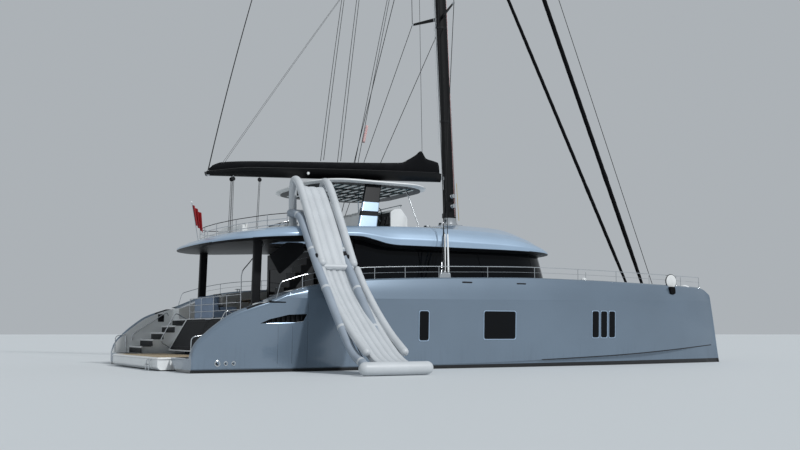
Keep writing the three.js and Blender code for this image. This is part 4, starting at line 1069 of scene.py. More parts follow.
class CatamaranStern(bpy.types.Operator):
    """Swim platform and ladder, stair treads with pale nosings, handrails, niches and the garage door"""
    bl_idname = "catamaran.stern"
    bl_label = "Stern"

    def execute(self, context):
        (aft, fore), half = PLATFORM["x"], PLATFORM["half"]
        profile = rounded([[aft, 0.12], [-12.2, 0.03], [-11.3, 0.06], [fore, 0.26], [fore, PLATFORM_Z],
                           [aft, PLATFORM_Z]], [0.04, 0.03, 0.3, 0.05, 0.03, 0.045], 5)
        arms = joined([block((-10.5, -8.7), (y - 0.09, y + 0.09), (0.28, 0.43)) for y in (-2.3, 2.3)])
        notches = joined([block((-12.05, -10.5), (y - 0.32, y + 0.32), (0.0, 0.2))
                          for y in np.linspace(-2.5, 2.5, 5)])
        slab = carve(carried(profile, 1, -half, half), notches)
        piece("platform_body", [slab, arms], gelcoat(), "platform", "deck_white", "swim_platform",
              bevel=0.008)
        deck = plate(rectangle((aft + 0.09, -half + 0.1), (fore - 0.06, half - 0.1), 0.08),
                     on_floor(PLATFORM_Z), -0.004, 0.007)
        gaps = [block((aft + 0.1, fore - 0.07), (y - 0.008, y + 0.008), (PLATFORM_Z, PLATFORM_Z + 0.0085))
                for y in np.linspace(-half + 0.1, half - 0.1, 4)[1:-1]]
        rub = bent([[fore, -half - 0.005, 0.4], [aft - 0.005, -half - 0.005, 0.4],
                    [aft - 0.005, half + 0.005, 0.4], [fore, half + 0.005, 0.4]], 0.05, 0.026, 10)
        piece("platform_deck", [deck, joined(gaps), rub], [teak(), rubber(), white_cloth()], "platform",
              "teak")
        stiles = [bent([[aft - 0.0194, y, 0.38], [aft - 0.09, y, 0.33], [aft - 0.15, y, -0.7]],
                       0.08, 0.018, 14) for y in (-2.5, -2.1)]
        rungs, treads = [], []
        for z in (0.2, -0.08, -0.36, -0.62):
            x = aft - 0.1 + 0.06 * z
            rungs.append(tube(even([[x - 0.028, -2.5, z], [x - 0.028, -2.1, z]], 3), 0.015, 12))
            treads.append(block((x - 0.055, x), (-2.47, -2.13), (z + 0.008, z + 0.022)))
        piece("ladder_steps", [joined(stiles + rungs), joined(treads)], [steel(), rubber()], "platform",
              "steel", "swim_ladder", bevel=0.003)
        self.stairs()
        low, high = (share * float(np.linalg.norm(AFT_FACE[1] - AFT_FACE[0])) for share in (0.04, 0.96))
        panel = plate(rectangle((-2.9, low), (2.9, high), 0.06), on_door, 0.003, 0.055, edge=0.8)
        insets = [border(rectangle((a, low + 0.12), (b, high - 0.12), 0.06), 0.012, on_door, 0.05, 0.062)
                  for a, b in ((-2.75, -0.1), (0.1, 2.75))]
        grip = bent([on_door(u, high - 0.06, off) for u, off in ((-0.35, 0.05), (-0.35, 0.1), (0.35, 0.1),
                                                                 (0.35, 0.05))], 0.03, 0.011, 10, 4)
        piece("garage_door_panel", [panel, joined(insets), grip], [rubber(), charcoal(), steel()],
              "garage_door", "charcoal", "garage_door")
        return {"FINISHED"}

    def stairs(self):
        """The treads, nosings, niche and handrails of the stairs on each side."""
        pads, noses = [], []
        for i in range(STEPS):
            x, z = STEP_X + i * STEP_RUN, PLATFORM_Z + (i + 1) * STEP_RISE
            if i < STEPS - 1:
                tread = rectangle((x + 0.06, 3.3), (x + 0.42, 5.1), 0.04)
                pads.append(plate(tread, on_floor(z), -0.004, 0.014))
            pads.append(block((x - 0.012, x + 0.01), (3.26, 5.12), (z - STEP_RISE + 0.014, z - 0.05)))
            nose = rectangle((x - 0.018, z - 0.055), (x + 0.045, z + 0.012), 0.015, 4)
            noses.append(carried(nose, 1, 3.24, 5.14))
        pads.append(plate(rectangle((AFT_X + 0.12, 3.3), (STEP_X - 0.1, 5.08), 0.06), on_floor(PLATFORM_Z),
                          -0.004, 0.012))
        pair("stair_treads", [joined(pads), joined(noses)], [charcoal(), gelcoat()], "charcoal")
        niche = rectangle((-10.05, 1.7), (-9.79, 2.02), 0.03)
        pair("wing_niche", [plate(niche, on_wing, -0.02, 0.004), border(niche, 0.02, on_wing, -0.02, 0.012)],
             [rubber(), gelcoat()], "charcoal")
        loop = [[-11.78, 5.12, 0.46], [-11.78, 5.12, 1.12], [-11.36, 5.12, 1.2], [-11.36, 5.12, 0.46]]
        grab = [[-11.1, 5.13, 0.95], [-11.1, 5.1, 1.2], [-9.7, 5.1, 2.1], [-9.62, 5.13, 1.95]]
        slanted = [on_door(3.05, v, off) for v, off in ((0.1, 0.0), (0.12, 0.5), (1.4, 0.55), (1.4, 0.02))]
        rails = [bent(loop, 0.14, 0.019, 12, 6), bent(grab, 0.1, 0.017, 12),
                 bent(slanted, 0.16, 0.019, 12, 6)]
        pair("stern_handrails", rails, steel(), "steel")


class CatamaranDecks(bpy.types.Operator):
    """Bridge deck finish, teak cockpit sole, saloon sole and the nonskid, hatches and lockers forward"""
    bl_idname = "catamaran.decks"
    bl_label = "Decks"

    def execute(self, context):
        refinish("bridge_deck", gelcoat())
        sole = [plate(rectangle((-9.36, -4.17), (SALOON_AFT_X - 0.16, 4.17), 0.05), on_floor(FLOOR_Z),
                      -0.004, 0.008),
                plate(rectangle((SALOON_AFT_X + 0.1, -4.1), (3.0, 4.1), 0.05), on_floor(FLOOR_Z),
                      -0.004, 0.006)]
        piece("soles", sole, teak(), slot="teak")
        pads = [plate(rectangle((3.3, y - 0.62), (4.3, y + 0.62), 0.12), on_floor(DECK_Z), -0.004, 0.006)
                for y in (-2.3, -0.75, 0.75, 2.3)]
        piece("foredeck_grip", pads, nonskid(), slot="deck_white")
        # Aft edge, middle and half-width of each hatch, and the width and the height of its frame
        hatches = [(4.75, 1.0, 0.3, 0.04, 0.035), (-1.2, 4.9, 0.26, 0.035, 0.036),
                   (1.6, 4.9, 0.26, 0.035, 0.036), (7.4, 4.45, 0.26, 0.035, 0.036)]
        panes, frames = [], []
        for x, y, half, wide, height in hatches:
            outline = rectangle((x, y - half), (x + 0.55, y + half), 0.07)
            pane = plate(outline, on_floor(DECK_Z), 0.0, 0.03)
            frame_band = border(outline, wide, on_floor(DECK_Z), 0.0, height)
            panes += [pane, pane.mirrored()]
            frames += [frame_band, frame_band.mirrored()]
        top = plate(rectangle((4.45, 1.2), (5.25, 2.4), 0.06), on_floor(DECK_Z), 0.006, 0.046, edge=0.7)
        gasket = border(rectangle((4.47, 1.22), (5.23, 2.38), 0.06), 0.008, on_floor(DECK_Z), 0.006, 0.018)
        catch = lathe([[0, 0.03], [0.035, 0.03], [0.035, 0.052], [0.02, 0.056], [0, 0.056]], 20, 2,
                      (5.12, 1.8, DECK_Z))
        pair("locker_top", [top, gasket, catch], [roof_paint(), rubber(), steel()], "gelcoat", "locker_lid",
             "locker_lid")
        piece("deck_hatches", [joined(panes), joined(frames)], [black_glass(), steel()], slot="black_glass")
        return {"FINISHED"}


FRONT_X = 1.2
ROUND = 0.8  # power that squares the arc of the deckhouse a little
GLASS_FOOT = {"half": 4.4, "reach": 3.0, "z": DECK_Z + CLEAR}
GLASS_HEAD = {"half": 4.09, "reach": 2.56, "z": 4.65}


def front_arc(half, reach, count):
    """The deckhouse's front in plan, from starboard to port: x = 1.2 + reach cos(a)^.8 and
    y = half sign(sin a) |sin a|^.8."""
    a = np.linspace(-math.pi / 2, math.pi / 2, count)
    return np.stack([FRONT_X + reach * np.maximum(np.cos(a), 0) ** ROUND,
                     half * np.sign(np.sin(a)) * np.abs(np.sin(a)) ** ROUND], 1)


def house_plan(edge, inset):
    """The deckhouse's outline at one height, open aft, as 400 points at even steps."""
    half = edge["half"] - inset
    arc = front_arc(half, edge["reach"] - inset, 120)
    return even(np.concatenate([[[SALOON_AFT_X, -half]], arc, [[SALOON_AFT_X, half]]]), 400)


def house_wall(start, end, low, high, offset, thickness):
    """A stretch of the deckhouse's leaning wall, between two shares of its length in plan and two heights,
    each a number or a function of x."""
    share = np.linspace(start, end, max(8, int((end - start) * 160)))

    def edge(inset, level):
        at = np.linspace(0, 1, 400)
        foot, head = (np.stack([np.interp(share, at, line[:, k]) for k in (0, 1)], 1)
                      for line in (house_plan(GLASS_FOOT, inset), house_plan(GLASS_HEAD, inset)))
        z = level(head[:, 0]) if callable(level) else np.full(len(share), level)
        up = ((z - GLASS_FOOT["z"]) / (GLASS_HEAD["z"] - GLASS_FOOT["z"]))[:, None]
        return np.concatenate([foot + (head - foot) * up, z[:, None]], 1)

    rings = [edge(offset, low), edge(offset, high), edge(offset + thickness, high),
             edge(offset + thickness, low)]
    return skin(np.stack(rings, 1))


roof_bottom_z = through([[-10.4, 4.38], [-7.45, 4.52], [-5.6, 4.59], [-5.0, 4.49], [-4.4, 4.34], [-3.9, 4.3],
                         [3.0, 4.33], [4.25, 4.39]])
roof_edge_z = through([[-10.4, 4.64], [-9.8, 4.76], [-7.45, 4.99], [-5.7, 5.07], [-2.8, 5.15], [0.0, 5.08],
                       [1.2, 4.98], [2.4, 4.78], [3.4, 4.6], [4.25, 4.48]])
roof_spine_z = through([[-10.4, 4.7], [-1.3, 5.5], [0.0, 5.66], [1.5, 5.66], [2.6, 5.42], [3.5, 5.02],
                        [4.25, 4.52]])
ROOF_BACK_X = -7.4
ROOF_REACH = (3.05, 3.0)
FLY_WELL = [[-1.3, -3.73], [-1.3, 3.73], [-7.4, 3.73], [-8.8, 3.17], [-9.45, 2.03], [-9.65, 0.0],
            [-9.45, -2.03], [-8.8, -3.17], [-7.4, -3.73]]
STAIR = {"foot": -8.35, "run": 0.22, "risers": 11, "y": (-2.7, -1.85), "depth": 0.26}
STAIR_TOP_X = STAIR["foot"] + (STAIR["risers"] - 1) * STAIR["run"]


def roof_outline():
    """The roof in plan: straight sides with a full front and back."""
    front = front_arc(ROOF_HALF, ROOF_REACH[0], 61)
    back = front_arc(ROOF_HALF, ROOF_REACH[1], 61)
    back = np.stack([ROOF_BACK_X - (back[:, 0] - FRONT_X), -back[:, 1]], 1)
    line = np.concatenate([front, back, front[:1]])
    return even(line, 281)[:-1]


def roof_ring(inset, height):
    """One ring of the roof, drawn in from its outline towards the spine: by a share of the way up to 1, else
    by metres / 1000. height is told the x of the outline and of the point drawn in."""
    x, y = roof_outline().T
    spine = np.clip(x, ROOF_BACK_X, FRONT_X)
    reach = np.maximum(np.hypot(x - spine, y), 1e-6)
    share = np.full_like(x, inset) if inset <= 1 else np.minimum(inset / 1000 / reach, 0.99)
    inner = x + (spine - x) * share
    return np.stack([inner, y * (1 - share), height(x, inner)], 1)


def roof_form():
    """The roof, flybridge coaming and brow as one moulding: ten rings from the middle of its underside over
    the rim to its spine, with the line across them rounded."""
    def rimward(share):
        return lambda edge, inner: roof_bottom_z(edge) + share * (roof_edge_z(edge) - roof_bottom_z(edge))

    def spineward(share):
        return lambda edge, inner: roof_edge_z(inner) + share * (roof_spine_z(inner) - roof_edge_z(inner))

    rows = [(0.99, lambda edge, inner: roof_bottom_z(inner), 0.02), (260, rimward(0), 0.06),
            (1e-9, rimward(0.12), 0.04), (1e-9, rimward(0.4), 0.05), (150, rimward(0.75), 0.2),
            (380, rimward(0.95), 0.15),
            (520, lambda edge, inner: np.maximum(roof_edge_z(edge), spineward(0.1)(edge, inner)), 0.3),
            (0.35, spineward(0.62), 9.0), (0.6, spineward(0.88), 9.0), (0.99, spineward(1), 0.02)]
    rings = np.stack([roof_ring(inset, height) for inset, height, _ in rows], 1)
    lines = rounded(rings, [row[2] for row in rows], 5, closed=False)
    return skin(np.swapaxes(lines, 0, 1))


class CatamaranHouse(bpy.types.Operator):
    """Deckhouse: black panes round the saloon, its frame, aft wall, windows and sliding door, and the roof"""
    bl_idname = "catamaran.house"
    bl_label = "Deckhouse"

    def execute(self, context):
        edges = [0.0, 0.105, 0.21, 0.31, 0.375, 0.425, 0.475, 0.525, 0.575, 0.625, 0.69, 0.79, 0.895, 1.0]
        head = lambda x: roof_bottom_z(x) + 0.03
        panes = [house_wall(a + 0.0006, b - 0.0006, GLASS_FOOT["z"] + 0.1, head, 0.0, 0.03)
                 for a, b in zip(edges[:-1], edges[1:])]
        kerb = house_wall(0.0, 1.0, GLASS_FOOT["z"], GLASS_FOOT["z"] + 0.1, -0.012, 0.05)
        piece("saloon_panes", [joined(panes), kerb], [black_glass(), charcoal()], slot="black_glass",
              replaces="saloon_glass")
        for node, look in (("saloon_frame", charcoal()), ("saloon_aft_wall", charcoal()),
                           ("saloon_aft_window_port", black_glass()),
                           ("saloon_aft_window_starboard", black_glass())):
            refinish(node, look)
        frame_at = lambda u, v, off: spots(-5.7 - off, u, v)
        pane = rectangle((-0.86, FLOOR_Z + 0.12), (0.86, 3.86), 0.03)
        stile = block((-5.752, -5.704), (-0.02, 0.02), (FLOOR_Z + 0.12, 3.86))
        handle = bent([[-5.75, 0.9, 2.6], [-5.8, 0.9, 2.62], [-5.8, 0.9, 3.1], [-5.75, 0.9, 3.12]],
                      0.03, 0.012, 10, 4)
        leaf = [border(pane, 0.1, frame_at, 0.0, 0.056), plate(pane, frame_at, 0.01, 0.04), stile, handle]
        piece("saloon_sliding_door", leaf, [charcoal(), black_glass(), charcoal(), steel()], "saloon_door",
              "black_glass", "saloon_door")
        well = carried(rounded(FLY_WELL, 0.25, 6), 2, FLY_FLOOR_Z, 7.0)
        ceiling = block((SALOON_AFT_X + 0.3, -1.7), (-3.6, 3.6), (4.0, 4.54))
        dome = block((-1.7, 2.7), (-2.9, 2.9), (4.0, 4.7))
        stairway = block((STAIR_TOP_X - 1.75, STAIR_TOP_X + 0.01),
                         (STAIR["y"][0] - 0.06, STAIR["y"][1] + 0.06), (4.0, 7.0))
        mast_step = block((MAST_X - 0.45, MAST_X + 0.45), (-0.42, 0.42), (5.3, MAST_FOOT_Z - CLEAR / 2))
        roof = carve(roof_form(), well, ceiling, dome, stairway, join=[mast_step])

        def choose(at, normal):
            floor = (normal[:, 2] > 0.9) & (np.abs(at[:, 2] - FLY_FLOOR_Z) < 0.01)
            inside = (at[:, 0] < -1.25) & (at[:, 0] > -9.7) & (at[:, 2] > FLY_FLOOR_Z + 0.005)
            inside &= (np.abs(at[:, 1]) < 3.74) & (np.abs(normal[:, 2]) < 0.3)
            under = (normal[:, 2] < -0.35) & (at[:, 2] < 4.76)
            return np.select([floor, inside, under], [2, 1, 3], 0)

        piece("roof_moulding", roof, [roof_paint(), gelcoat(), nonskid(), charcoal()], slot="gelcoat",
              replaces="coachroof", sharp=26, choose=choose)
        return {"FINISHED"}


HARDTOP = {"x": (-6.35, -1.15), "half": 2.85, "z": (6.86, 7.06)}


def hardtop_outline(inset):
    """The hardtop in plan, pointed forward, drawn in by an inset."""
    aft, fore, half = HARDTOP["x"][0] + inset, HARDTOP["x"][1] - inset, HARDTOP["half"] - inset
    port = [[fore, half - 1.3], [fore - 0.42, half - 0.5], [fore - 1.15, half], [aft + 1.0, half],
            [aft + 0.35, half - 0.4], [aft, half - 1.2]]
    corners = [[fore, 1.3 - half]] + port + [[x, -y] for x, y in port[:0:-1]]
    return rounded(corners, 0.35, 6)


class CatamaranHardtop(bpy.types.Operator):
    """Hardtop over the helm: shell, tinted roof lights with dark slats, two-tone legs and thin struts"""
    bl_idname = "catamaran.hardtop"
    bl_label = "Hardtop"

    def execute(self, context):
        low, high = HARDTOP["z"]
        rows = [(0.3, low), (0.15, low), (0.03, low + 0.04), (0.0, low + 0.075), (0.02, low + 0.115),
                (0.1, low + 0.145), (0.5, high - 0.012), (0.9, high)]
        shell = skin([spots(*hardtop_outline(inset).T, z) for inset, z in rows])
        light = rectangle((-5.7, -2.2), (-1.95, 2.2), 0.3, 8)
        above = on_floor(high - 0.006)
        below = on_floor(low, -1)
        lining = skin([spots(*hardtop_outline(inset).T, z) for inset, z in (
            (0.17, low + 0.01), (0.16, low - 0.012), (0.5, low - 0.016), (1.2, low - 0.016))])
        slats = joined([block((x - 0.03, x + 0.03), (-2.2, 2.2), (low - 0.045, low - 0.02))
                        for x in np.linspace(-5.5, -2.2, 10)] +
                       [block((-5.7, -1.95), (y - 0.03, y + 0.03), (low - 0.05, low - 0.02))
                        for y in (-1.1, 0, 1.1)])
        panes = [plate(light, above, -0.01, 0.014), plate(light, below, 0.01, 0.024)]
        piece("hardtop_shell", [shell, *panes, lining, slats],
              [gelcoat(), black_glass(), teal_glass(), charcoal(), charcoal()], slot="deck_white",
              replaces="hardtop")
        # The plan of a leg's foot and of its head, and the heights between which it stands
        foot = rectangle((-5.05, 3.1), (-4.25, 3.24))
        head = rectangle((-4.35, 2.48), (-3.7, 2.62))
        z_foot, z_head = FLY_FLOOR_Z + CLEAR / 2, low - CLEAR / 2

        def leg(start, end, grow=0.0):
            ends = []
            for share in (start, end):
                ring = foot + (head - foot) * share
                ring = ring + np.sign(ring - ring.mean(0)) * grow
                ends.append(spots(*rounded(ring, 0.05, 4).T, z_foot + (z_head - z_foot) * share))
            return skin(ends)

        pair("hardtop_post", [leg(0.0, 0.4), leg(0.4, 0.49, 0.005), leg(0.49, 0.66), leg(0.66, 1.0, 0.003)],
             [roof_paint(), rubber(), roof_paint(), charcoal()], "charcoal", "hardtop_leg")
        stay = tube(even([[-1.9, 2.75, z_foot], [-2.35, 2.1, z_head]], 4), 0.026, 14)
        socket = lathe([[0, 0], [0.07, 0], [0.07, 0.012], [0.035, 0.03], [0, 0.03]], 20, 2,
                       (-1.9, 2.75, FLY_FLOOR_Z))
        pair("hardtop_stay", [stay, socket], steel(), "steel", "hardtop_strut")
        return {"FINISHED"}


def mast_x(z):
    """x of the mast's middle at a height."""
    return MAST_X - MAST_LEAN * (z - MAST_FOOT_Z)


mast_chord = through([[MAST_FOOT_Z, 0.285], [24.0, 0.27], [31.5, 0.21], [MAST_TOP_Z, 0.13]])
mast_half = through([[MAST_FOOT_Z, 0.165], [24.0, 0.155], [31.5, 0.125], [MAST_TOP_Z, 0.09]])
SPREADERS = ((14.8, 1.7), (22.6, 1.35))


def spar_at(z, angle, proud=0.0):
    """A point on the mast's oval skin: its angle from straight ahead, and how far it stands off."""
    z = np.asarray(z, float)
    return np.stack([mast_x(z) + (mast_chord(z) + proud) * np.cos(angle),
                     (mast_half(z) + proud) * np.sin(angle), z + 0 * np.asarray(angle)], -1)


class CatamaranMast(bpy.types.Operator):
    """Mast with its track, spreaders, fittings, winches and masthead gear"""
    bl_idname = "catamaran.mast"
    bl_label = "Mast"

    def execute(self, context):
        z = np.linspace(MAST_FOOT_Z, MAST_TOP_Z, 60)
        angle = once_round(48)
        spar = skin(spar_at(z[:, None], angle[None, :]))
        arms, tips = [], []
        for height, reach in SPREADERS:
            for side in (1, -1):
                tip = [mast_x(height) - 0.42, side * reach, height + 0.12]
                line = even([[mast_x(height), 0, height], tip], 12)
                arms.append(tube(line, np.linspace(0.04, 0.022, 12), 20, flat=2.4))
                tips.append(lathe([[0, -0.05], [0.05, -0.04], [0.055, 0.03], [0, 0.05]], 16, 2, line[-1]))
        foot = block((MAST_X - 0.4, MAST_X + 0.4), (-0.33, 0.33), (MAST_FOOT_Z, MAST_FOOT_Z + 0.06))
        collar = skin([spar_at(np.full(48, level), angle, grow)
                       for level, grow in ((5.79, 0.05), (5.86, 0.05), (5.93, 0.015), (6.1, 0.012))])
        neck = block((0.63, mast_x(7.7)), (-0.07, 0.07), (7.72, 7.86))
        piece("mast_spar", [spar, joined(arms), joined(tips), foot, collar, neck],
              [carbon(), carbon(), steel(), steel(), steel(), steel()], slot="carbon", replaces="mast",
              bevel=0.006)
        track = [tube(spar_at(np.linspace(7.3, 33.8, 40), math.pi + turn, 0.006), 0.011, 6)
                 for turn in (-0.16, 0.16)]
        track += [tube(spar_at(np.linspace(9.0, 34.0, 30), turn, 0.012), 0.013, 6) for turn in (0.55, -0.55)]
        bands = [skin([spar_at(np.full(48, level + step), angle, grow)
                       for step, grow in ((0, 0.001), (0.01, 0.014), (0.09, 0.014), (0.1, 0.001))])
                 for level in (10.2, 14.3, 22.3, 23.3, 30.9, 31.2)]
        winch = [[0, -0.09], [0.085, -0.09], [0.06, -0.05], [0.055, 0.03], [0.085, 0.07], [0.05, 0.085],
                 [0, 0.085]]
        gear = [lathe(winch, 24, 1, (mast_x(height) + 0.02, side * (mast_half(7.0) + 0.09), height))
                for height in (6.6, 7.02) for side in (1, -1)]
        clutches = [block((mast_x(6.2) - 0.3, mast_x(6.2) - 0.22), (y - 0.03, y + 0.03), (6.1, 6.3))
                    for y in (-0.12, -0.04, 0.04, 0.12)]
        piece("mast_fittings", [joined(track), joined(bands), joined(gear), joined(clutches)],
              [rope("white"), charcoal(), steel(), rubber()], slot="steel")
        head = MAST_TOP_Z
        x = mast_x(head)
        crane = block((x - 0.42, x + 0.3), (-0.045, 0.045), (head - 0.12, head + 0.02))
        whip = tube(even([[x - 0.36, 0.03, head], [x - 0.36, 0.03, head + 0.8]], 4), 0.009, 8)
        vane = tube(even([[x + 0.24, 0, head], [x + 0.62, 0, head + 0.25]], 4), 0.008, 8)
        cups = joined([lathe([[0, -0.02], [0.03, -0.01], [0.03, 0.02], [0, 0.03]], 12, 2,
                             (x + 0.62 + 0.07 * math.cos(a), 0.07 * math.sin(a), head + 0.27))
                       for a in (0, 2.1, 4.2)])
        lamp = lathe([[0, 0], [0.045, 0], [0.045, 0.09], [0.02, 0.12], [0, 0.12]], 18, 2, (x, 0, head + 0.02))
        piece("masthead_gear", [crane, whip + vane, cups, lamp], [carbon(), steel(), rubber(), gelcoat()],
              slot="steel", bevel=0.004)
        return {"FINISHED"}


def boom_at(aft, up):
    """x and z of a point aft of the boom's pivot and up from it, square to the leaning mast."""
    return PIVOT_X - aft - up * MAST_LEAN, PIVOT_Z + up - aft * MAST_LEAN


BOOM_KEYS = (0.06, 0.4, 2.5, 8.5, 10.35)
boom_half = through(list(zip(BOOM_KEYS, (0.12, 0.26, 0.33, 0.3, 0.14))))
boom_high = through(list(zip(BOOM_KEYS, (0.33, 0.36, 0.36, 0.32, 0.15))))
BAG_ROWS = np.array([  # aft, half-width, height
    [0.15, 0.12, 0.84], [0.4, 0.125, 0.9], [0.7, 0.13, 0.98], [0.95, 0.13, 1.29], [1.2, 0.15, 1.12],
    [1.54, 0.19, 0.93], [1.92, 0.25, 0.77], [2.5, 0.29, 0.74], [3.88, 0.3, 0.7], [8.5, 0.27, 0.6],
    [9.7, 0.2, 0.52], [10.05, 0.13, 0.4], [10.2, 0.06, 0.3]])
bag_half = through(BAG_ROWS[:, (0, 1)])
bag_high = through(BAG_ROWS[:, (0, 2)])


def along_boom(aft, section):
    """Rings of a section carried along the boom: section is (stations, corners, 2) of y and height."""
    x, z = boom_at(aft[:, None], section[..., 1])
    return np.stack([x, section[..., 0], z], -1)


class CatamaranBoom(bpy.types.Operator):
    """Boom, and the canvas bag that holds the lowered mainsail"""
    bl_idname = "catamaran.boom"
    bl_label = "Boom and sail bag"

    def execute(self, context):
        aft = np.concatenate([np.linspace(0.06, 0.6, 12)[:-1], np.linspace(0.6, 9.8, 40)[:-1],
                              np.linspace(9.8, 10.35, 14)])
        half, high = boom_half(aft), boom_high(aft)
        section = rounded(np.stack([np.stack([side * half, high * level], -1) for side, level in (
            (-0.3, 0), (0.3, 0), (0.82, 0.42), (1, 1), (-1, 1), (-0.82, 0.42))], 1),
            [0.08, 0.08, 0.2, 0.02, 0.02, 0.2], 4)
        pin_x, pin_z = boom_at(0, 0.09)
        top_x, top_z = boom_at(0, 0.25)
        pin = tube([[pin_x, 0, pin_z], [top_x, 0, top_z]], 0.05, 20)
        neck = block((0.44, 0.555), (-0.04, 0.04), (7.72, 7.85))
        lip = []
        for side in (1, -1):
            edge = along_boom(aft, np.stack([side * (half - 0.004), high + 0.004], -1)[:, None])[:, 0]
            lip.append(tube(edge, 0.014, 8))
        end_x, end_z = boom_at(10.28, 0.06)
        sheaves = [lathe([[0.0, -0.03], [0.075, -0.03], [0.06, 0], [0.075, 0.03], [0, 0.03]], 20, 1,
                         (end_x, y, end_z)) for y in (-0.05, 0.05)]
        piece("boom_spar", [skin(along_boom(aft, section)), pin + neck, joined(lip), joined(sheaves)],
              [carbon(), steel(), charcoal(), steel()], "boom", "carbon", "boom", sharp=40)
        aft = np.concatenate([np.linspace(0.15, 2.0, 70)[:-1], np.linspace(2.0, 9.6, 190)[:-1],
                              np.linspace(9.6, 10.2, 24)])
        base, half, high = boom_high(aft) + CLEAR / 2, bag_half(aft), bag_high(aft)
        rise = high - base
        corners = [(side * half * wide, base + rise * level) for side, wide, level in (
            (-1, 1, 0), (1, 1, 0), (1, 1.06, 0.35), (1, 0.8, 0.75), (1, 0.25, 0.99), (-1, 0.25, 0.99),
            (-1, 0.8, 0.75), (-1, 1.06, 0.35))]
        section = rounded(np.stack([np.stack(corner, -1) for corner in corners], 1),
                          [0.02, 0.02, 9, 9, 0.05, 0.05, 9, 9], 6)
        y, up = section[..., 0], section[..., 1]
        level = np.clip((up - base[:, None]) / np.maximum(rise[:, None], 1e-3), 0, 1)
        swing = np.sin(level * math.pi) * np.clip(half[:, None] / 0.2, 0, 1)
        wave = (np.sin(aft[:, None] * 5.1 + 1.7 * np.sin(aft[:, None] * 1.3)) * 0.45
                + np.sin(aft[:, None] * 11.7 + level * 5 + np.sin(aft[:, None] * 3.1)) * 0.3
                + np.sin(aft[:, None] * 23.0 + level * 9 + y * 8) * 0.16)
        section = np.stack([y * (1 + 0.075 * wave * swing), up + 0.014 * wave * level], -1)
        bag = skin(along_boom(aft, section))
        zip_line = along_boom(aft[4:-4], np.stack([0.0 * aft[4:-4], high[4:-4] + 0.004], -1)[:, None])[:, 0]
        lamp_x, lamp_z = boom_at(6.3, 0.16)
        lamps = [lathe([[0, -0.03], [0.05, -0.025], [0.06, 0.01], [0, 0.02]], 20, 1,
                       (lamp_x, side * 0.335, lamp_z)) for side in (1, -1)]
        piece("mainsail_bag", [bag, tube(zip_line, 0.012, 6)], [canvas(), rubber()], "boom", "sailcloth",
              "sail_bag", sharp=50)
        piece("boom_lamps", joined(lamps), gelcoat(), "boom", "deck_white")
        return {"FINISHED"}


GENOA = {"foot": (11.93, 0, 2.91), "head": (mast_x(30.9) + 0.235, 0, 30.9), "radius": 0.1, "clew": 0.2}
STAYSAIL = {"foot": (11.02, 0, 2.91), "head": (mast_x(23.3) + 0.29, 0, 23.3), "radius": 0.078, "clew": 0.24}
SPRIT_STAY = {"foot": (12.56, 0, 2.91), "head": (mast_x(34.5) + 0.16, 0, 34.5)}
SHROUD_HEADS = ((14.3, 0.172), (22.3, 0.172), (31.2, 0.14))  # height and distance off the middle of each


def furled(sail, pitch):
    """A headsail rolled on its stay: the roll's radius swells at the clew and tapers aloft, and its free edge
    winds up it as a step of 7 mm, where the angle less the turns so far comes round to 0."""
    foot, head = np.array(sail["foot"], float), np.array(sail["head"], float)
    radius, clew = sail["radius"], sail["clew"]
    length = np.linalg.norm(head - foot)
    share = np.linspace(0.015, 0.97, int(length / 0.055))
    size = through([[0.015, 0.045], [0.03, radius * 0.7], [0.12, radius], [clew - 0.012, radius * 1.02],
                    [clew, radius * 1.15], [clew + 0.014, radius], [0.5, radius], [0.85, radius * 0.6],
                    [0.97, 0.03]])(share)
    along = (head - foot) / length
    u = np.cross(along, (0, 1, 0))
    v = np.array((0, 1, 0.0))
    angle = once_round(24)
    turns = share[:, None] * length / pitch
    step = 0.007 * np.mod(angle[None, :] / (2 * math.pi) - turns, 1.0)
    wide = (size[:, None] + step - 0.003)[..., None]
    middle = foot + share[:, None] * (head - foot)
    around = np.cos(angle)[:, None] * u + np.sin(angle)[:, None] * v
    return skin(middle[:, None] + wide * around[None])


def stay_gear(stay, drum=True):
    """A stay's wire with its furling drum, swivel and end toggles."""
    foot, head = np.array(stay["foot"], float), np.array(stay["head"], float)
    length = np.linalg.norm(head - foot)
    at = lambda metres: foot + (head - foot) * metres / length
    wire = tube([foot, head], 0.015, 10)
    parts = [tube([at(0.03), at(0.2)], 0.035, 14)]
    if drum:
        parts += [tube([at(a) for a, _ in rows], [r for _, r in rows], 28) for rows in (
            ((0.255, 0.02), (0.256, 0.12), (0.275, 0.12), (0.28, 0.06), (0.41, 0.06), (0.415, 0.12),
             (0.435, 0.12), (0.436, 0.03)), ((length * 0.972, 0.03), (length * 0.973, 0.055),
                                             (length * 0.982, 0.055), (length * 0.983, 0.02)))]
    return wire, joined(parts)


def rail_y(x):
    """y of the guard rail's feet on the port side."""
    return wide_y(x) - 0.28 * (sheer_z(x) - crease_z(x)) - 0.1


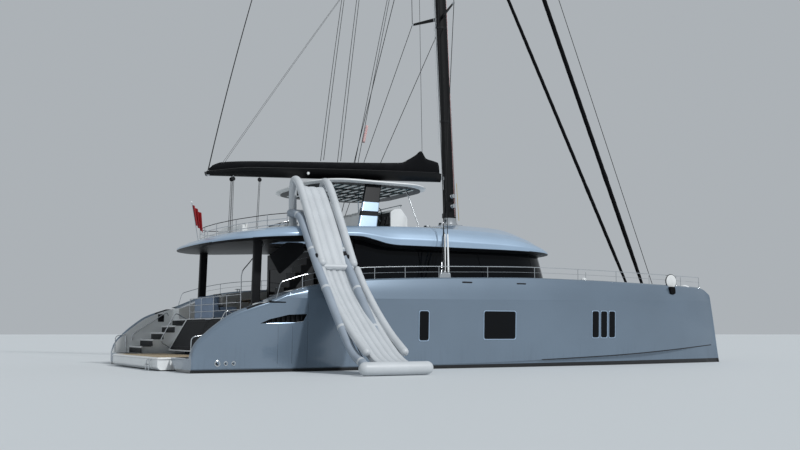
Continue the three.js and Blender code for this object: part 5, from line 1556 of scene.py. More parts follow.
class CatamaranRigging(bpy.types.Operator):
    """Shrouds and covers, furled headsails, foremost stay, halyards, lazy jacks, topping lift, sheets"""
    bl_idname = "catamaran.rigging"
    bl_label = "Rigging"

    def execute(self, context):
        rig = context.scene.catamaran_rig
        for name, sail in (("genoa", GENOA), ("staysail", STAYSAIL)):
            wire, gear = stay_gear(sail)
            piece(f"{name}_roll", [furled(sail, rig.wrap), wire, gear], [canvas(), steel(), steel()],
                  slot="carbon", replaces=name, sharp=28)
        wire, gear = stay_gear(SPRIT_STAY, drum=False)
        piece("sprit_stay_wire", [wire, gear], [carbon(), steel()], slot="carbon", replaces="sprit_stay")
        x0, y0, foot_z = -2.5, float(rail_y(-2.5)) - 0.13, DECK_Z + 0.38
        outline = rounded([[x0 - 0.26, DECK_Z], [x0 + 0.26, DECK_Z], [x0 + 0.22, DECK_Z + 0.42],
                           [x0 - 0.22, DECK_Z + 0.42]], 0.05, 4)
        feet = {apart: np.array([x0 + apart, y0, foot_z]) for apart in (0.15, 0.0, -0.15)}
        on_mast = lambda z, off: [mast_x(z) - 0.04, off, z]
        tips = [[mast_x(z) - 0.43, reach + 0.06, z + 0.125] for z, reach in SPREADERS]
        lows, middles, tops = (on_mast(*head) for head in SHROUD_HEADS)
        lines = [tube([feet[0.15], lows], 0.014, 8), tube([feet[0.0], middles], 0.016, 8),
                 tube(np.array([feet[-0.15], *tips, tops]), 0.014, 8)]
        covers, ends = [], []
        for apart in (0.15, 0.0):
            start, end = feet[apart], np.array(lows)
            way = (end - start) / (end[2] - start[2])
            covers.append(tube(even([start + way * 0.05, start + way * 1.5], 8), 0.036, 20))
            ends.append(tube([start + way * 1.5, start + way * 1.56], [0.03, 0.018], 16))
            ends.append(tube([start - way * 0.02, start + way * 0.06], 0.03, 16))
        start, way = feet[-0.15], (np.array(tips[0]) - feet[-0.15])
        way = way / way[2]
        ends += [tube([start + way * a, start + way * b], 0.026, 14) for a, b in ((0.0, 0.14), (0.2, 0.42))]
        plates = carried(outline, 1, y0 - 0.022, y0 + 0.022)
        pair("shroud_lines", [joined(lines), joined(covers), joined(ends), plates],
             [carbon(), gelcoat(), steel(), steel()], "carbon", "shrouds")
        head = MAST_TOP_Z
        crane = (mast_x(head) - 0.42, head - 0.1)
        halyards = [
            ([mast_x(33.5) - 0.2, 0.07, 33.5], [mast_x(8.1) - 0.26, 0.06, 8.1], rope("black")),
            ([crane[0], 0.05, crane[1]], [-0.36, 0.05, boom_at(0.9, 1.25)[1]], rope("black")),
            ([crane[0] + 0.1, -0.05, crane[1]], [mast_x(9.2) - 0.42, -0.06, 9.2], rope("white")),
            ([mast_x(30.0) + 0.24, 0.19, 30.0], [mast_x(6.3) + 0.1, 0.25, 6.15], rope("yellow")),
            ([mast_x(7.6) + 0.3, -0.16, 7.6], [mast_x(6.0) + 0.36, -0.12, 6.0], rope("yellow")),
            ([mast_x(23.0) + 0.24, -0.19, 23.0], [mast_x(6.3) + 0.1, -0.25, 6.15], rope("red"))]
        lines = [tube([np.array(a), np.array(b)], rig.rope, 6) for a, b, _ in halyards]
        piece("halyards", lines, [look for _, _, look in halyards], slot="sailcloth")
        # Name, its end on the boom, its head on the mast, how far it sags aft, and its radius
        for name, (x, z), (top_x, top_z), sag, radius in (
                ("lazy_jack_aft", (-5.01, 8.1), crane, 0.25, 0.012),
                ("lazy_jack_middle", (-4.26, 8.12), crane, 0.1, 0.012),
                ("lazy_jack_fore", (-3.48, 8.12), (mast_x(24.0) - 0.3, 24.0), 0.02, 0.012),
                ("lazy_jack_tail", (-9.14, 7.62), (mast_x(20.9) - 0.3, 20.9), 0.1, 0.006),
                ("topping_lift", (-9.7, 7.34), crane, 0.8, 0.013)):
            for side in (1, -1):
                off = side * (0.15 if "jack" in name else 0.03)
                a, b = np.array([top_x, 0.3 * off, top_z]), np.array([x, off, z])
                t = np.linspace(0, 1, 30)[:, None]
                path = a + (b - a) * t - (4 * sag, 0, 0) * t * (1 - t)
                tag = "port" if side > 0 else "starboard"
                self.crossing(f"{name}_{tag}", tube(path, radius, 6), rope("black"), a, b)
        sleeve = tube(even([[-3.24, -0.16, 8.97], [-3.08, -0.16, 9.68]], 12), 0.055, 16)
        self.crossing("jack_sleeve", sleeve, rope("red"), sleeve.points[-1], sleeve.points[0])
        for k, (aft, foot_x, foot_y) in enumerate(((9.3, -8.8, 0.13), (9.3, -8.8, -0.13), (8.2, -7.74, 0.0))):
            top_x, top_z = boom_at(aft, 0.0)
            a = np.array([foot_x, foot_y, FLY_FLOOR_Z + 0.12])
            b = np.array([top_x, foot_y * 0.8, top_z - 0.1])
            ropes = joined([tube(even([a + (d, 0, 0), b + (d * 0.7, 0, 0)], 12), 0.009, 6)
                            for d in (-0.03, 0.03)])
            self.crossing(f"mainsheet_{k}", ropes, rope("black"), a, b)
            for tag, at, body, turn in (("deck", a, "yacht", -1), ("boom", b, "boom", 1)):
                wheel = lathe([[0, -0.03], [0.075, -0.026], [0.085, 0], [0.075, 0.026], [0, 0.03]], 24, 1, at)
                shank = tube([at, at + (0, 0, 0.13 * turn)], 0.014, 10)
                piece(f"mainsheet_block_{tag}_{k}", [wheel, shank], [charcoal(), steel()], body, "steel")
        return {"FINISHED"}

    def crossing(self, name, shape, look, start, end):
        """A taut line from the boat at start to the boom at end."""
        mesh = as_mesh(name, shape)
        mesh.materials.append(look)
        mesh.shade_smooth()
        item = placed(name, mesh)
        tuple(float(v) for v in start)
        tuple(float(v) for v in end)
        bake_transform(item)


# Each kind of tube of the slide is a pair: its two values of x, its radius and its path of y and z
SLIDE_TUBES = {
    "arch": ((-7.56, -6.4), 0.14, [[-3.18, FLY_FLOOR_Z + 0.03], [-3.12, 6.15], [-3.2, 6.72], [-3.58, 6.66],
                                   [-4.02, 6.12], [-5.8, 3.47]]),
    "beam": ((-7.72, -6.58), 0.14, [[-3.2, 5.5], [-4.2, 5.36], [-4.75, 4.65], [-5.75, 3.4], [-7.05, 1.98],
                                    [-8.4, 0.62], [-9.3, 0.27]]),
    "rail": ((-7.56, -6.24), 0.13, [[-5.6, 3.48], [-6.2, 2.78], [-7.15, 1.92], [-8.1, 1.2], [-9.1, 0.62]]),
}
SLIDE_CROSSBARS = (((-7.56, -6.4), -3.15, 5.55), ((-7.56, -6.4), -5.72, 3.46))
UPPER_BED = [[-3.55, 6.42], [-4.1, 5.75], [-5.76, 3.36]]
LOWER_BED = [[-5.55, 3.42], [-6.2, 2.62], [-7.15, 1.8], [-8.1, 1.08], [-9.1, 0.42], [-9.72, 0.26]]
SLIDE_FLOAT = [[-8.15, -9.68, 0.215], [-7.8, -9.72, 0.215], [-6.0, -9.72, 0.215], [-5.66, -9.68, 0.215]]


def bed(path, low, high, ribs, thick, swell):
    """An inflated mat carried along a path of y and z: its top and bottom bulge between its ribs as
    thick + swell |sin|, across the boat's length from low to high."""
    path = even(rounded(path, 0.5, 8, closed=False), 60)
    along = np.gradient(path, axis=0)
    along /= np.linalg.norm(along, axis=1, keepdims=True)
    square = np.stack([-along[:, 1], along[:, 0]], 1)
    square = np.where(square[:, 1:] > 0, square, -square)
    u = np.linspace(0, 1, ribs * 8 + 1)
    bulge = thick + swell * np.abs(np.sin(u * ribs * math.pi)) ** 0.7
    x = low + (high - low) * u
    top = np.stack([x, bulge], 1)
    ring = np.concatenate([top, np.stack([x[::-1], -bulge[::-1]], 1)])
    ends = np.ones(60)
    ends[:3], ends[-3:] = (0.55, 0.85, 0.97), (0.97, 0.85, 0.55)
    off = ring[None, :, 1] * ends[:, None]
    rings = np.empty((60, len(ring), 3))
    rings[..., 0] = ring[None, :, 0]
    rings[..., 1:] = path[:, None] + square[:, None] * off[..., None]
    return skin(rings)


class CatamaranSlide(bpy.types.Operator):
    """Inflated boarding slide: arches, beams, ribbed beds, side tubes, crossbars and the float at its foot"""
    bl_idname = "catamaran.slide"
    bl_label = "Boarding slide"

    def execute(self, context):
        pale, shade, seams, dark = [], [], [], []
        for kind, (planes, radius, path) in SLIDE_TUBES.items():
            for x in planes:
                line = rounded(path, 0.42, 7, closed=False)
                line = np.column_stack([np.full(len(line), x), line])
                # The beams take the shaded copy of the fabric: their blue-grey is painted shade.
                (shade if kind == "beam" else pale).append(bladder(line, radius))
                line = even(line, 90)
                seams += [tube(line[i:i + 2], radius + 0.004, 24) for i in range(9, 86, 19)]
                if kind != "beam":
                    side = line[12:78] + (-radius * 0.97, 0, 0)
                    seams.append(tube(side, 0.012, 6))
                if kind == "arch":
                    valve = [[0, -0.03], [0.085, -0.03], [0.1, 0.01], [0.07, 0.035], [0, 0.035]]
                    dark.append(lathe(valve, 20, 0, line[-7] - (radius, 0, 0)))
        for planes, y, z in SLIDE_CROSSBARS:
            pale.append(bladder(even([[planes[0] - 0.02, y, z], [planes[1] + 0.02, y, z]], 6), 0.1))
        line = even(rounded(SLIDE_TUBES["beam"][2], 0.42, 7, closed=False), 90)
        strap = [[SLIDE_TUBES["beam"][0][1], *line[i]] for i in (30, 32)]
        dark.append(tube(strap, 0.147, 24))
        # Painted shadow: two thin black lines along the beds' sides stand for the shade in the gaps between
        # bed and side tube.
        for x, way in ((-7.4, line[62:84]), (-6.34, line[40:84])):
            dark.append(tube(np.column_stack([np.full(len(way), x), way + (0, -0.13)]), 0.014, 6))
        upper = bed(UPPER_BED, -7.44, -6.52, 3, 0.045, 0.05)
        lower = bed(LOWER_BED, -7.46, -6.34, 5, 0.06, 0.05)
        pale.append(bladder(rounded(SLIDE_FLOAT, 0.3, 5, closed=False), 0.2, 28))
        tubes = piece("slide_tubes", [joined(pale), joined(shade), joined(seams), joined(dark)],
                      [slide_fabric(), slide_shade(), slide_fabric(), rubber()], slot="slide_fabric",
                      replaces="slide", sharp=60)
        for item in (tubes, piece("slide_upper_bed", upper, slide_fabric(), slot="slide_fabric", sharp=60),
                     piece("slide_lower_bed", lower, slide_fabric(), slot="slide_fabric", sharp=60)):
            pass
        return {"FINISHED"}


FLAG_STAFF = ((-9.9, 0.42), (-10.18, 6.15))


class CatamaranEnsign(bpy.types.Operator):
    """Flag hanging in folds from its staff"""
    bl_idname = "catamaran.ensign"
    bl_label = "Ensign"

    def execute(self, context):
        foot = np.array([FLAG_STAFF[0][0], FLAG_STAFF[0][1], float(roof_edge_z(FLAG_STAFF[0][0])) - 0.02])
        head = np.array([FLAG_STAFF[1][0], FLAG_STAFF[0][1], FLAG_STAFF[1][1]])
        staff = tube(even([foot, head], 6), 0.016, 14)
        truck = lathe([[0, -0.03], [0.03, -0.02], [0.035, 0.01], [0.015, 0.035], [0, 0.04]], 16, 2, head)
        piece("ensign_staff", [staff, truck], [steel(), gelcoat()], slot="steel", replaces="ensign")
        u, v = np.meshgrid(np.linspace(0, 1, 70), np.linspace(0, 1, 36), indexing="ij")
        hoist, fly = 0.8, 1.1
        hold = head + (foot - head) * 0.05
        way = (foot - head) / np.linalg.norm(foot - head)
        along = hold + v[..., None] * hoist * way
        fold = 0.078 * np.sin(u * 6 * math.pi + 0.7 * v) * np.minimum(1, u / 0.07)
        x = along[..., 0] + 0.36 * u - 0.06 * u * v + 0.025 * np.sin(5 * u * math.pi + 2 * v) * u
        z = along[..., 2] - 0.3 * u ** 1.2 - 0.06 * u * (1 - v)
        sheet = np.stack([x, along[..., 1] + fold, z], -1)
        mesh = bpy.data.meshes.new("ensign_cloth")
        flat = skin(sheet, caps=False, closed=False)
        mesh.from_pydata(flat.points.tolist(), [], flat.faces)
        layer = mesh.uv_layers.new(name="cloth")
        corner = np.array([loop.vertex_index for loop in mesh.loops])
        layer.data.foreach_set("uv", np.stack([u.ravel(), v.ravel()], 1)[corner].ravel())
        mesh.materials.append(bunting())
        mesh.shade_smooth()
        cloth = placed("ensign_cloth", mesh)
        wall = cloth.modifiers.new("cloth", "SOLIDIFY")
        wall.thickness = 0.002
        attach(cloth, "yacht")
        return {"FINISHED"}


class CatamaranDeckRails(bpy.types.Operator):
    """Guard rails with a loop aft, fairleads, cleats, the fender and the fittings on the side decks"""
    bl_idname = "catamaran.deck_rails"
    bl_label = "Guard rails and fittings"

    def execute(self, context):
        at = np.array([-8.15, -7.3, -5.43, -4.22, -2.83, -0.73, 1.4, 3.5, 5.5, 7.4, 9.1, 10.7])
        along = np.linspace(at[0], at[-1], 100)
        feet = spots(at, rail_y(at), sheer_z(at) - 0.05)
        top = spots(along, rail_y(along), sheer_z(along) + 0.4)
        loop = [[-8.15, rail_y(-8.15), sheer_z(-8.15) + 0.4], [-8.95, rail_y(-8.95), sheer_z(-8.95) + 0.45],
                [-9.1, rail_y(-9.1), sheer_z(-9.1) - 0.03]]
        bars = [tube(top, 0.0125, 8), tube(top - (0, 0, 0.2), 0.006, 6),
                tube(rounded(loop, [0, 0.12, 0], 6, closed=False), 0.0125, 8)]
        bars += [tube([foot, foot + (0, 0, 0.45)], 0.0125, 10) for foot in feet]
        bars += [lathe([[0, 0], [0.04, 0], [0.04, 0.015], [0.018, 0.05], [0, 0.05]], 14, 2, foot)
                 for foot in feet]
        for x in (-6.6, 5.9, 9.95):
            y, z = float(rail_y(x)) - 0.3, DECK_Z + 0.02
            horn = even([[x - 0.16, y, z + 0.09], [x + 0.16, y, z + 0.09]], 9)
            bars.append(tube(horn, [0.006, 0.014, 0.018, 0.02, 0.02, 0.02, 0.018, 0.014, 0.006], 10))
            bars += [lathe([[0, 0], [0.035, 0], [0.02, 0.03], [0.018, 0.09], [0, 0.09]], 12, 2, (x + d, y, z))
                     for d in (-0.05, 0.05)]
        leads = [carried(rectangle((x - 0.21, 3.05), (x + 0.21, 3.1), 0.024), 1, 5.48,
                         hull_edges(x)[4] - 0.155) for x in (-1.73, 0.66)]
        pair("guard_rails", [joined(bars), joined(leads)], [steel(), rubber()], "steel", "guard_rail",
             sharp=40)
        disc = lathe([[0, -0.05], [0.2, -0.055], [0.27, -0.03], [0.285, 0], [0.27, 0.03], [0.2, 0.055],
                      [0, 0.05]], 40, 1, (8.69, -4.99, 3.38))
        rim = once_round(40)
        rim = tube(spots(8.69 + 0.28 * np.cos(rim), -4.99, 3.38 + 0.28 * np.sin(rim)), 0.022, 8, loop=True)
        pouch = [spots(*rectangle((8.47 + inset, -5.19 + inset), (8.77 - inset, -5.02 - inset), 0.05).T, z)
                 for inset, z in ((0.04, 2.84), (0.0, 2.88), (0.0, 3.05), (0.015, 3.13), (0.05, 3.15))]
        dome = [[0, 0], [0.26, 0], [0.27, 0.06], [0.22, 0.16], [0.1, 0.22], [0, 0.23]]
        knobs = [lathe(dome, 32, 2, (9.88, -4.5, 3.05)),
                 lathe(np.array(dome) * (0.55, 0.9), 28, 2, (4.2, -4.85, 3.22))]
        masts = [tube([[9.71, -4.5, 3.2], [9.71, -4.5, 3.6]], 0.012, 8),
                 tube([[4.3, -4.85, 3.36], [4.3, -4.85, 3.64]], 0.01, 8)]
        piece("deck_gear", [disc, rim, skin(pouch), joined(knobs), joined(masts)],
              [white_cloth(), rubber(), canvas(), gelcoat(), steel()], slot="deck_white", sharp=40)
        return {"FINISHED"}


class CatamaranForedeck(bpy.types.Operator):
    """Fore beam with its sprit and the knotted nets, each with its border rope and lacing"""
    bl_idname = "catamaran.foredeck"
    bl_label = "Fore beam and nets"

    def execute(self, context):
        reach = float(inner_y(11.05)) - 0.01
        cross = tube(even([[10.85, -reach, 2.64], [10.85, reach, 2.64]], 24), 0.19, 32)
        x = np.array([5.5, 8.0, 10.5, 12.15, 12.4, 12.6, 12.65])
        low = np.interp(x, [5.5, 12.15, 12.65], [2.56, 2.7, 2.82])
        half = np.array([0.18, 0.18, 0.18, 0.18, 0.17, 0.13, 0.09])
        section = np.stack([np.stack([side * half, low if foot else 0 * x + 2.94], -1)
                            for side, foot in ((-1, True), (1, True), (1, False), (-1, False))], 1)
        section = rounded(section, 0.05, 5)
        spine = skin(np.concatenate([np.broadcast_to(x[:, None, None], section[..., :1].shape), section], -1))
        tread = plate(rectangle((5.6, -0.12), (12.1, 0.12), 0.06), on_floor(2.94), -0.01, 0.006)
        eyes = [bent([[at - 0.06, 0, 2.93], [at - 0.05, 0, 3.0], [at + 0.05, 0, 3.0], [at + 0.06, 0, 2.93]],
                     0.04, 0.016, 10) for at in (10.7, 11.6, 12.35)]
        roller = lathe([[0, -0.1], [0.07, -0.1], [0.045, 0], [0.07, 0.1], [0, 0.1]], 24, 1, (12.56, 0, 2.78))
        piece("fore_beam_shell", [cross, spine, tread, joined(eyes), roller],
              [roof_paint(), roof_paint(), nonskid(), steel(), rubber()], slot="gelcoat",
              replaces="fore_beam")
        hull_side_y = lambda at: inner_y(at) - 0.07
        edge_x = np.linspace(5.72, 10.48, 40)

        def strand(start, end):
            line = even([start, end], 16)
            share = np.sin(np.clip((line[:, 0] - 5.7) / 4.8, 0, 1) * math.pi)
            share = share * np.sin(np.clip(line[:, 1] / hull_side_y(line[:, 0]), 0, 1) * math.pi)
            return tube(np.column_stack([line, 2.815 - 0.06 * share]), 0.005, 4)

        net = [strand([at, 0.25], [at, float(hull_side_y(at))]) for at in np.arange(5.78, 10.46, 0.09)]
        for y in np.arange(0.33, float(hull_side_y(10.48)), 0.09):
            start = float(np.interp(y, hull_side_y(edge_x), edge_x))
            net.append(strand([start, y], [10.48, y]))
        outer = np.column_stack([edge_x, hull_side_y(edge_x)])
        border_line = np.concatenate([[[5.72, 0.25]], outer, [[10.48, 0.25]]])
        edge = tube(spots(*border_line.T, 2.815), 0.014, 8, loop=True)
        teeth = np.arange(58)
        lace_x = 5.76 + teeth * 0.082
        outward = 1 - teeth % 2
        lace = tube(spots(lace_x, hull_side_y(lace_x) + 0.055 * outward, 2.82), 0.005, 5)
        front = tube(spots(10.48 + 0.16 * outward, 0.3 + teeth * 0.065, 2.815 - 0.05 * outward), 0.005, 5)
        pair("knotted_net", [joined(net), edge, lace + front], [rubber(), rope("black"), rope("white")],
             "net", "net", sharp=80)
        return {"FINISHED"}


@functools.cache
def swollen_pad(size):
    """A pad about the origin: a slightly smaller box, remeshed in even cells, then swollen as cloth by the
    air in it, with no point moved past the cap, and subdivided once."""
    scene, care = bpy.context.scene, bpy.context.scene.catamaran_cushions
    half = np.array(size) / 2 - care.swell * 0.7
    item = placed("pad", as_mesh("pad", block(*np.stack([-half, half], 1))))
    evaluated = lambda: bpy.data.meshes.new_from_object(
        item.evaluated_get(bpy.context.evaluated_depsgraph_get()))
    cells = item.modifiers.new("cells", "REMESH")
    cells.mode = "VOXEL"
    cells.voxel_size = care.voxel
    item.data = evaluated()
    item.modifiers.clear()
    start = shape_of(item.data)
    cloth = item.modifiers.new("air", "CLOTH")
    cloth.settings.use_pressure = True
    cloth.settings.uniform_pressure_force = care.pressure
    cloth.settings.effector_weights.gravity = 0
    for number in range(1, 21):
        scene.frame_set(number)
    move = shape_of(evaluated()).points - start.points
    item.modifiers.clear()
    scene.frame_set(1)
    length = np.linalg.norm(move, axis=1, keepdims=True)
    points = start.points + move * np.minimum(1, care.swell / np.maximum(length, 1e-9))
    item.data.vertices.foreach_set("co", points.ravel())
    fine = item.modifiers.new("fine", "SUBSURF")
    fine.levels = fine.render_levels = 1
    result = shape_of(evaluated())
    bpy.data.objects.remove(item)
    return result


def cushion(name, low, high, cloth, welt):
    """A sewn cushion between two corners: a swollen pad with a welt round its upper and lower seams."""
    low, high = np.array(low, float), np.array(high, float)
    size = high - low
    pad = swollen_pad(tuple(float(v) for v in np.round(size, 3)))
    thin = int(np.argmin(size))
    wide = [k for k in range(3) if k != thin]
    seams = []
    for level in (-0.27, 0.27):
        near = pad.points[np.abs(pad.points[:, thin] - level * size[thin]) < 0.02]
        reach = np.abs(near).max(0)[wide]
        ring = rounded(rectangle(-reach, reach), 0.06, 5)
        path = np.empty((len(ring), 3))
        path[:, wide] = ring
        path[:, thin] = level * size[thin]
        seams.append(tube(path, 0.007, 6, loop=True))
    middle = (low + high) / 2
    item = piece(name, [pad.moved(*middle), joined(seams).moved(*middle)], [cloth, welt], slot="cushion",
                 sharp=70)


def bench(name, x, y, floor, seat, back, depth, cloth, node, seats, shell):
    """A bench with its back aft: a moulded base, and a seat and a back cushion for each place on it."""
    pad, gap = 0.14, 0.012
    base = carried(rounded([[x[0], floor + CLEAR], [x[1] - 0.05, floor + CLEAR], [x[1], seat - pad],
                            [x[0] + depth, seat - pad], [x[0] + 0.09, back - 0.1], [x[0], back - 0.1]],
                           [0.02, 0.05, 0.03, 0.03, 0.03, 0.05], 4), 1, *y)
    kick = block((x[1] - 0.06, x[1] - 0.045), (y[0] + 0.06, y[1] - 0.06), (floor + 0.02, floor + 0.09))
    piece(f"{name}_base", [base, kick], [shell, charcoal()], slot="deck_white", replaces=node, bevel=0.008)
    width = (y[1] - y[0]) / seats
    for k in range(seats):
        a, b = y[0] + k * width + gap, y[0] + (k + 1) * width - gap
        fore = x[0] + depth
        cushion(f"{name}_seat_{k}", (fore + 0.01, a, seat - pad), (x[1] - 0.01, b, seat), cloth, cloth)
        cushion(f"{name}_back_{k}", (fore - 0.14, a, seat + 0.01), (fore, b, back), cloth, cloth)


def rail_of(corners, levels, height, radius):
    """A rail along a line of feet: bars at shares of its height, and a post with its base at each foot. Gives
    the lower bars and posts, and the bar on top."""
    corners = np.array(corners, float)
    bars = [bent(corners + (0, 0, height * share), 0.3, radius, 10) for share in levels]
    posts = [tube([foot, foot + (0, 0, height)], radius * 1.05, 12) for foot in corners]
    posts += [lathe([[0, 0], [0.05, 0], [0.05, 0.01], [0.025, 0.035], [0, 0.035]], 16, 2, foot)
              for foot in corners]
    return joined(bars[1:] + posts), bars[0]


class CatamaranFlybridge(bpy.types.Operator):
    """Helm with its console, screens, wheel and seat, the flybridge sofa, the bar and the rail"""
    bl_idname = "catamaran.flybridge"
    bl_label = "Flybridge"

    def execute(self, context):
        outline = rounded([[-3.18, 4.7808], [-2.45, 4.7808], [-2.45, 5.7], [-2.75, 6.05], [-3.02, 6.0],
                           [-3.18, 5.9]], [0.02, 0.02, 0.1, 0.08, 0.05, 0.04], 4)
        console = carried(outline, 1, -2.4, -0.3)
        column = tube([[-3.26, -1.5, 5.76], [-3.1, -1.5, 5.76]], 0.045, 24)
        on_dash = lambda u, v, off: spots(-3.18 - off, u, v)
        dash = plate(rectangle((-2.34, 5.3), (-0.36, 5.88), 0.06), on_dash, -0.01, 0.008)
        screens = [plate(rectangle((y, 5.42), (y + 0.42, 5.74), 0.02), on_dash, 0.0, 0.02)
                   for y in (-2.28, -1.08)]
        dials = [lathe([[0, -0.02], [0.05, -0.02], [0.05, 0.012], [0.04, 0.018], [0, 0.014]], 24, 0,
                       (-3.2, y, 5.8)) for y in (-0.56, -0.44)]
        levers = [tube([[-3.18, y, 5.55], [-3.27, y, 5.66]], 0.014, 10) for y in (-0.56, -0.48)]
        hood = bent([[-2.8, -2.35, 6.04], [-2.62, -2.3, 6.2], [-2.62, -0.4, 6.2], [-2.8, -0.35, 6.04]],
                    0.15, 0.018, 12, 6)
        piece("helm_pedestal", [console, dash, joined(screens), joined(dials), joined(levers) + column, hood],
              [gelcoat(), charcoal(), black_glass(), black_glass(), steel(), steel()], slot="deck_white",
              replaces="helm_console", bevel=0.006)
        angle = once_round(72)
        rim = tube(spots(-3.3, -1.5 + 0.38 * np.cos(angle), 5.76 + 0.38 * np.sin(angle)),
                   0.019 + 0.002 * np.sign(np.sin(angle * 18)), 14, loop=True)
        ends = [[-3.3, -1.5 + 0.37 * math.cos(a), 5.76 + 0.37 * math.sin(a)]
                for a in np.radians((90, 210, 330))]
        spokes = [tube(even([[-3.29, -1.5, 5.76], end], 6), [0.022, 0.018, 0.015, 0.014, 0.014, 0.014], 12)
                  for end in ends]
        hub = lathe([[0, -0.04], [0.03, -0.04], [0.055, -0.01], [0.055, 0.03], [0, 0.03]], 28, 0,
                    (-3.3, -1.5, 5.76))
        piece("steering_wheel", [rim, joined(spokes), hub], [canvas(), steel(), steel()], "helm_wheel",
              "steel", "helm_wheel")
        bench("helm_bench", (-4.45, -3.85), (-2.3, -0.5), FLY_FLOOR_Z, 5.4, 5.85, 0.16, white_cloth(),
              "helm_seat", 2, gelcoat())
        bench("fly_bench", (-8.2, -7.3), (0.3, 3.2), FLY_FLOOR_Z, 5.15, 5.5, 0.26, white_cloth(),
              "flybridge_sofa", 3, gelcoat())
        cabinet = block((-6.08, -5.52), (1.22, 2.98), (FLY_FLOOR_Z + CLEAR, 5.655))
        worktop = plate(rectangle((-6.1, 1.2), (-5.5, 3.0), 0.06), on_floor(5.66), -0.005, 0.04)
        on_front = lambda u, v, off: spots(-6.08 - off, u, v)
        doors = [plate(rectangle((1.27 + k * 0.57, 4.9), (1.8 + k * 0.57, 5.6), 0.02), on_front, 0.0, 0.012)
                 for k in range(3)]
        sink = plate(rectangle((-5.98, 1.5), (-5.64, 1.95), 0.08), on_floor(5.7), -0.01, 0.001)
        knobs = [tube([[-6.1, y, 5.4], [-6.1, y, 5.52]], 0.007, 8) for y in 1.74 + np.arange(3) * 0.57]
        piece("flybridge_cabinet", [cabinet, worktop, joined(doors), sink, joined(knobs)],
              [gelcoat(), charcoal(), gelcoat(), steel(), steel()], slot="deck_white",
              replaces="flybridge_bar", bevel=0.005)
        corners = [[-5.2, 3.91], [-6.3, 3.91], [-7.4, 3.91], [-8.6, 3.34], [-9.3, 2.1], [-9.56, 0.7],
                   [-9.56, -0.7], [-9.3, -2.1], [-8.6, -3.34], [-8.0, -3.7]]
        feet = [[x, y, float(roof_edge_z(x - 0.22)) - 0.06] for x, y in corners]
        lower, top = rail_of(feet, (1, 0.66, 0.33), 0.56, 0.014)
        piece("flybridge_handrail", [lower, top], [steel(), rubber()], slot="steel",
              replaces="flybridge_rail", sharp=40)
        domes = [lathe([[0, 0], [0.11, 0], [0.11, 0.04], [0.07, 0.09], [0, 0.11]], 24, 2,
                       (x, 0, float(roof_spine_z(x)) - 0.02)) for x in (2.1, 2.45)]
        pots = [lathe([[0, 0], [0.15, 0], [0.17, 0.1], [0.14, 0.2], [0, 0.22]], 28, 2,
                      (0.2, y, float(roof_spine_z(0.2)) - 0.06)) for y in (-0.62, 0.62)]
        piece("roof_fittings", [joined(domes), joined(pots)], [gelcoat(), steel()], slot="deck_white")
        return {"FINISHED"}


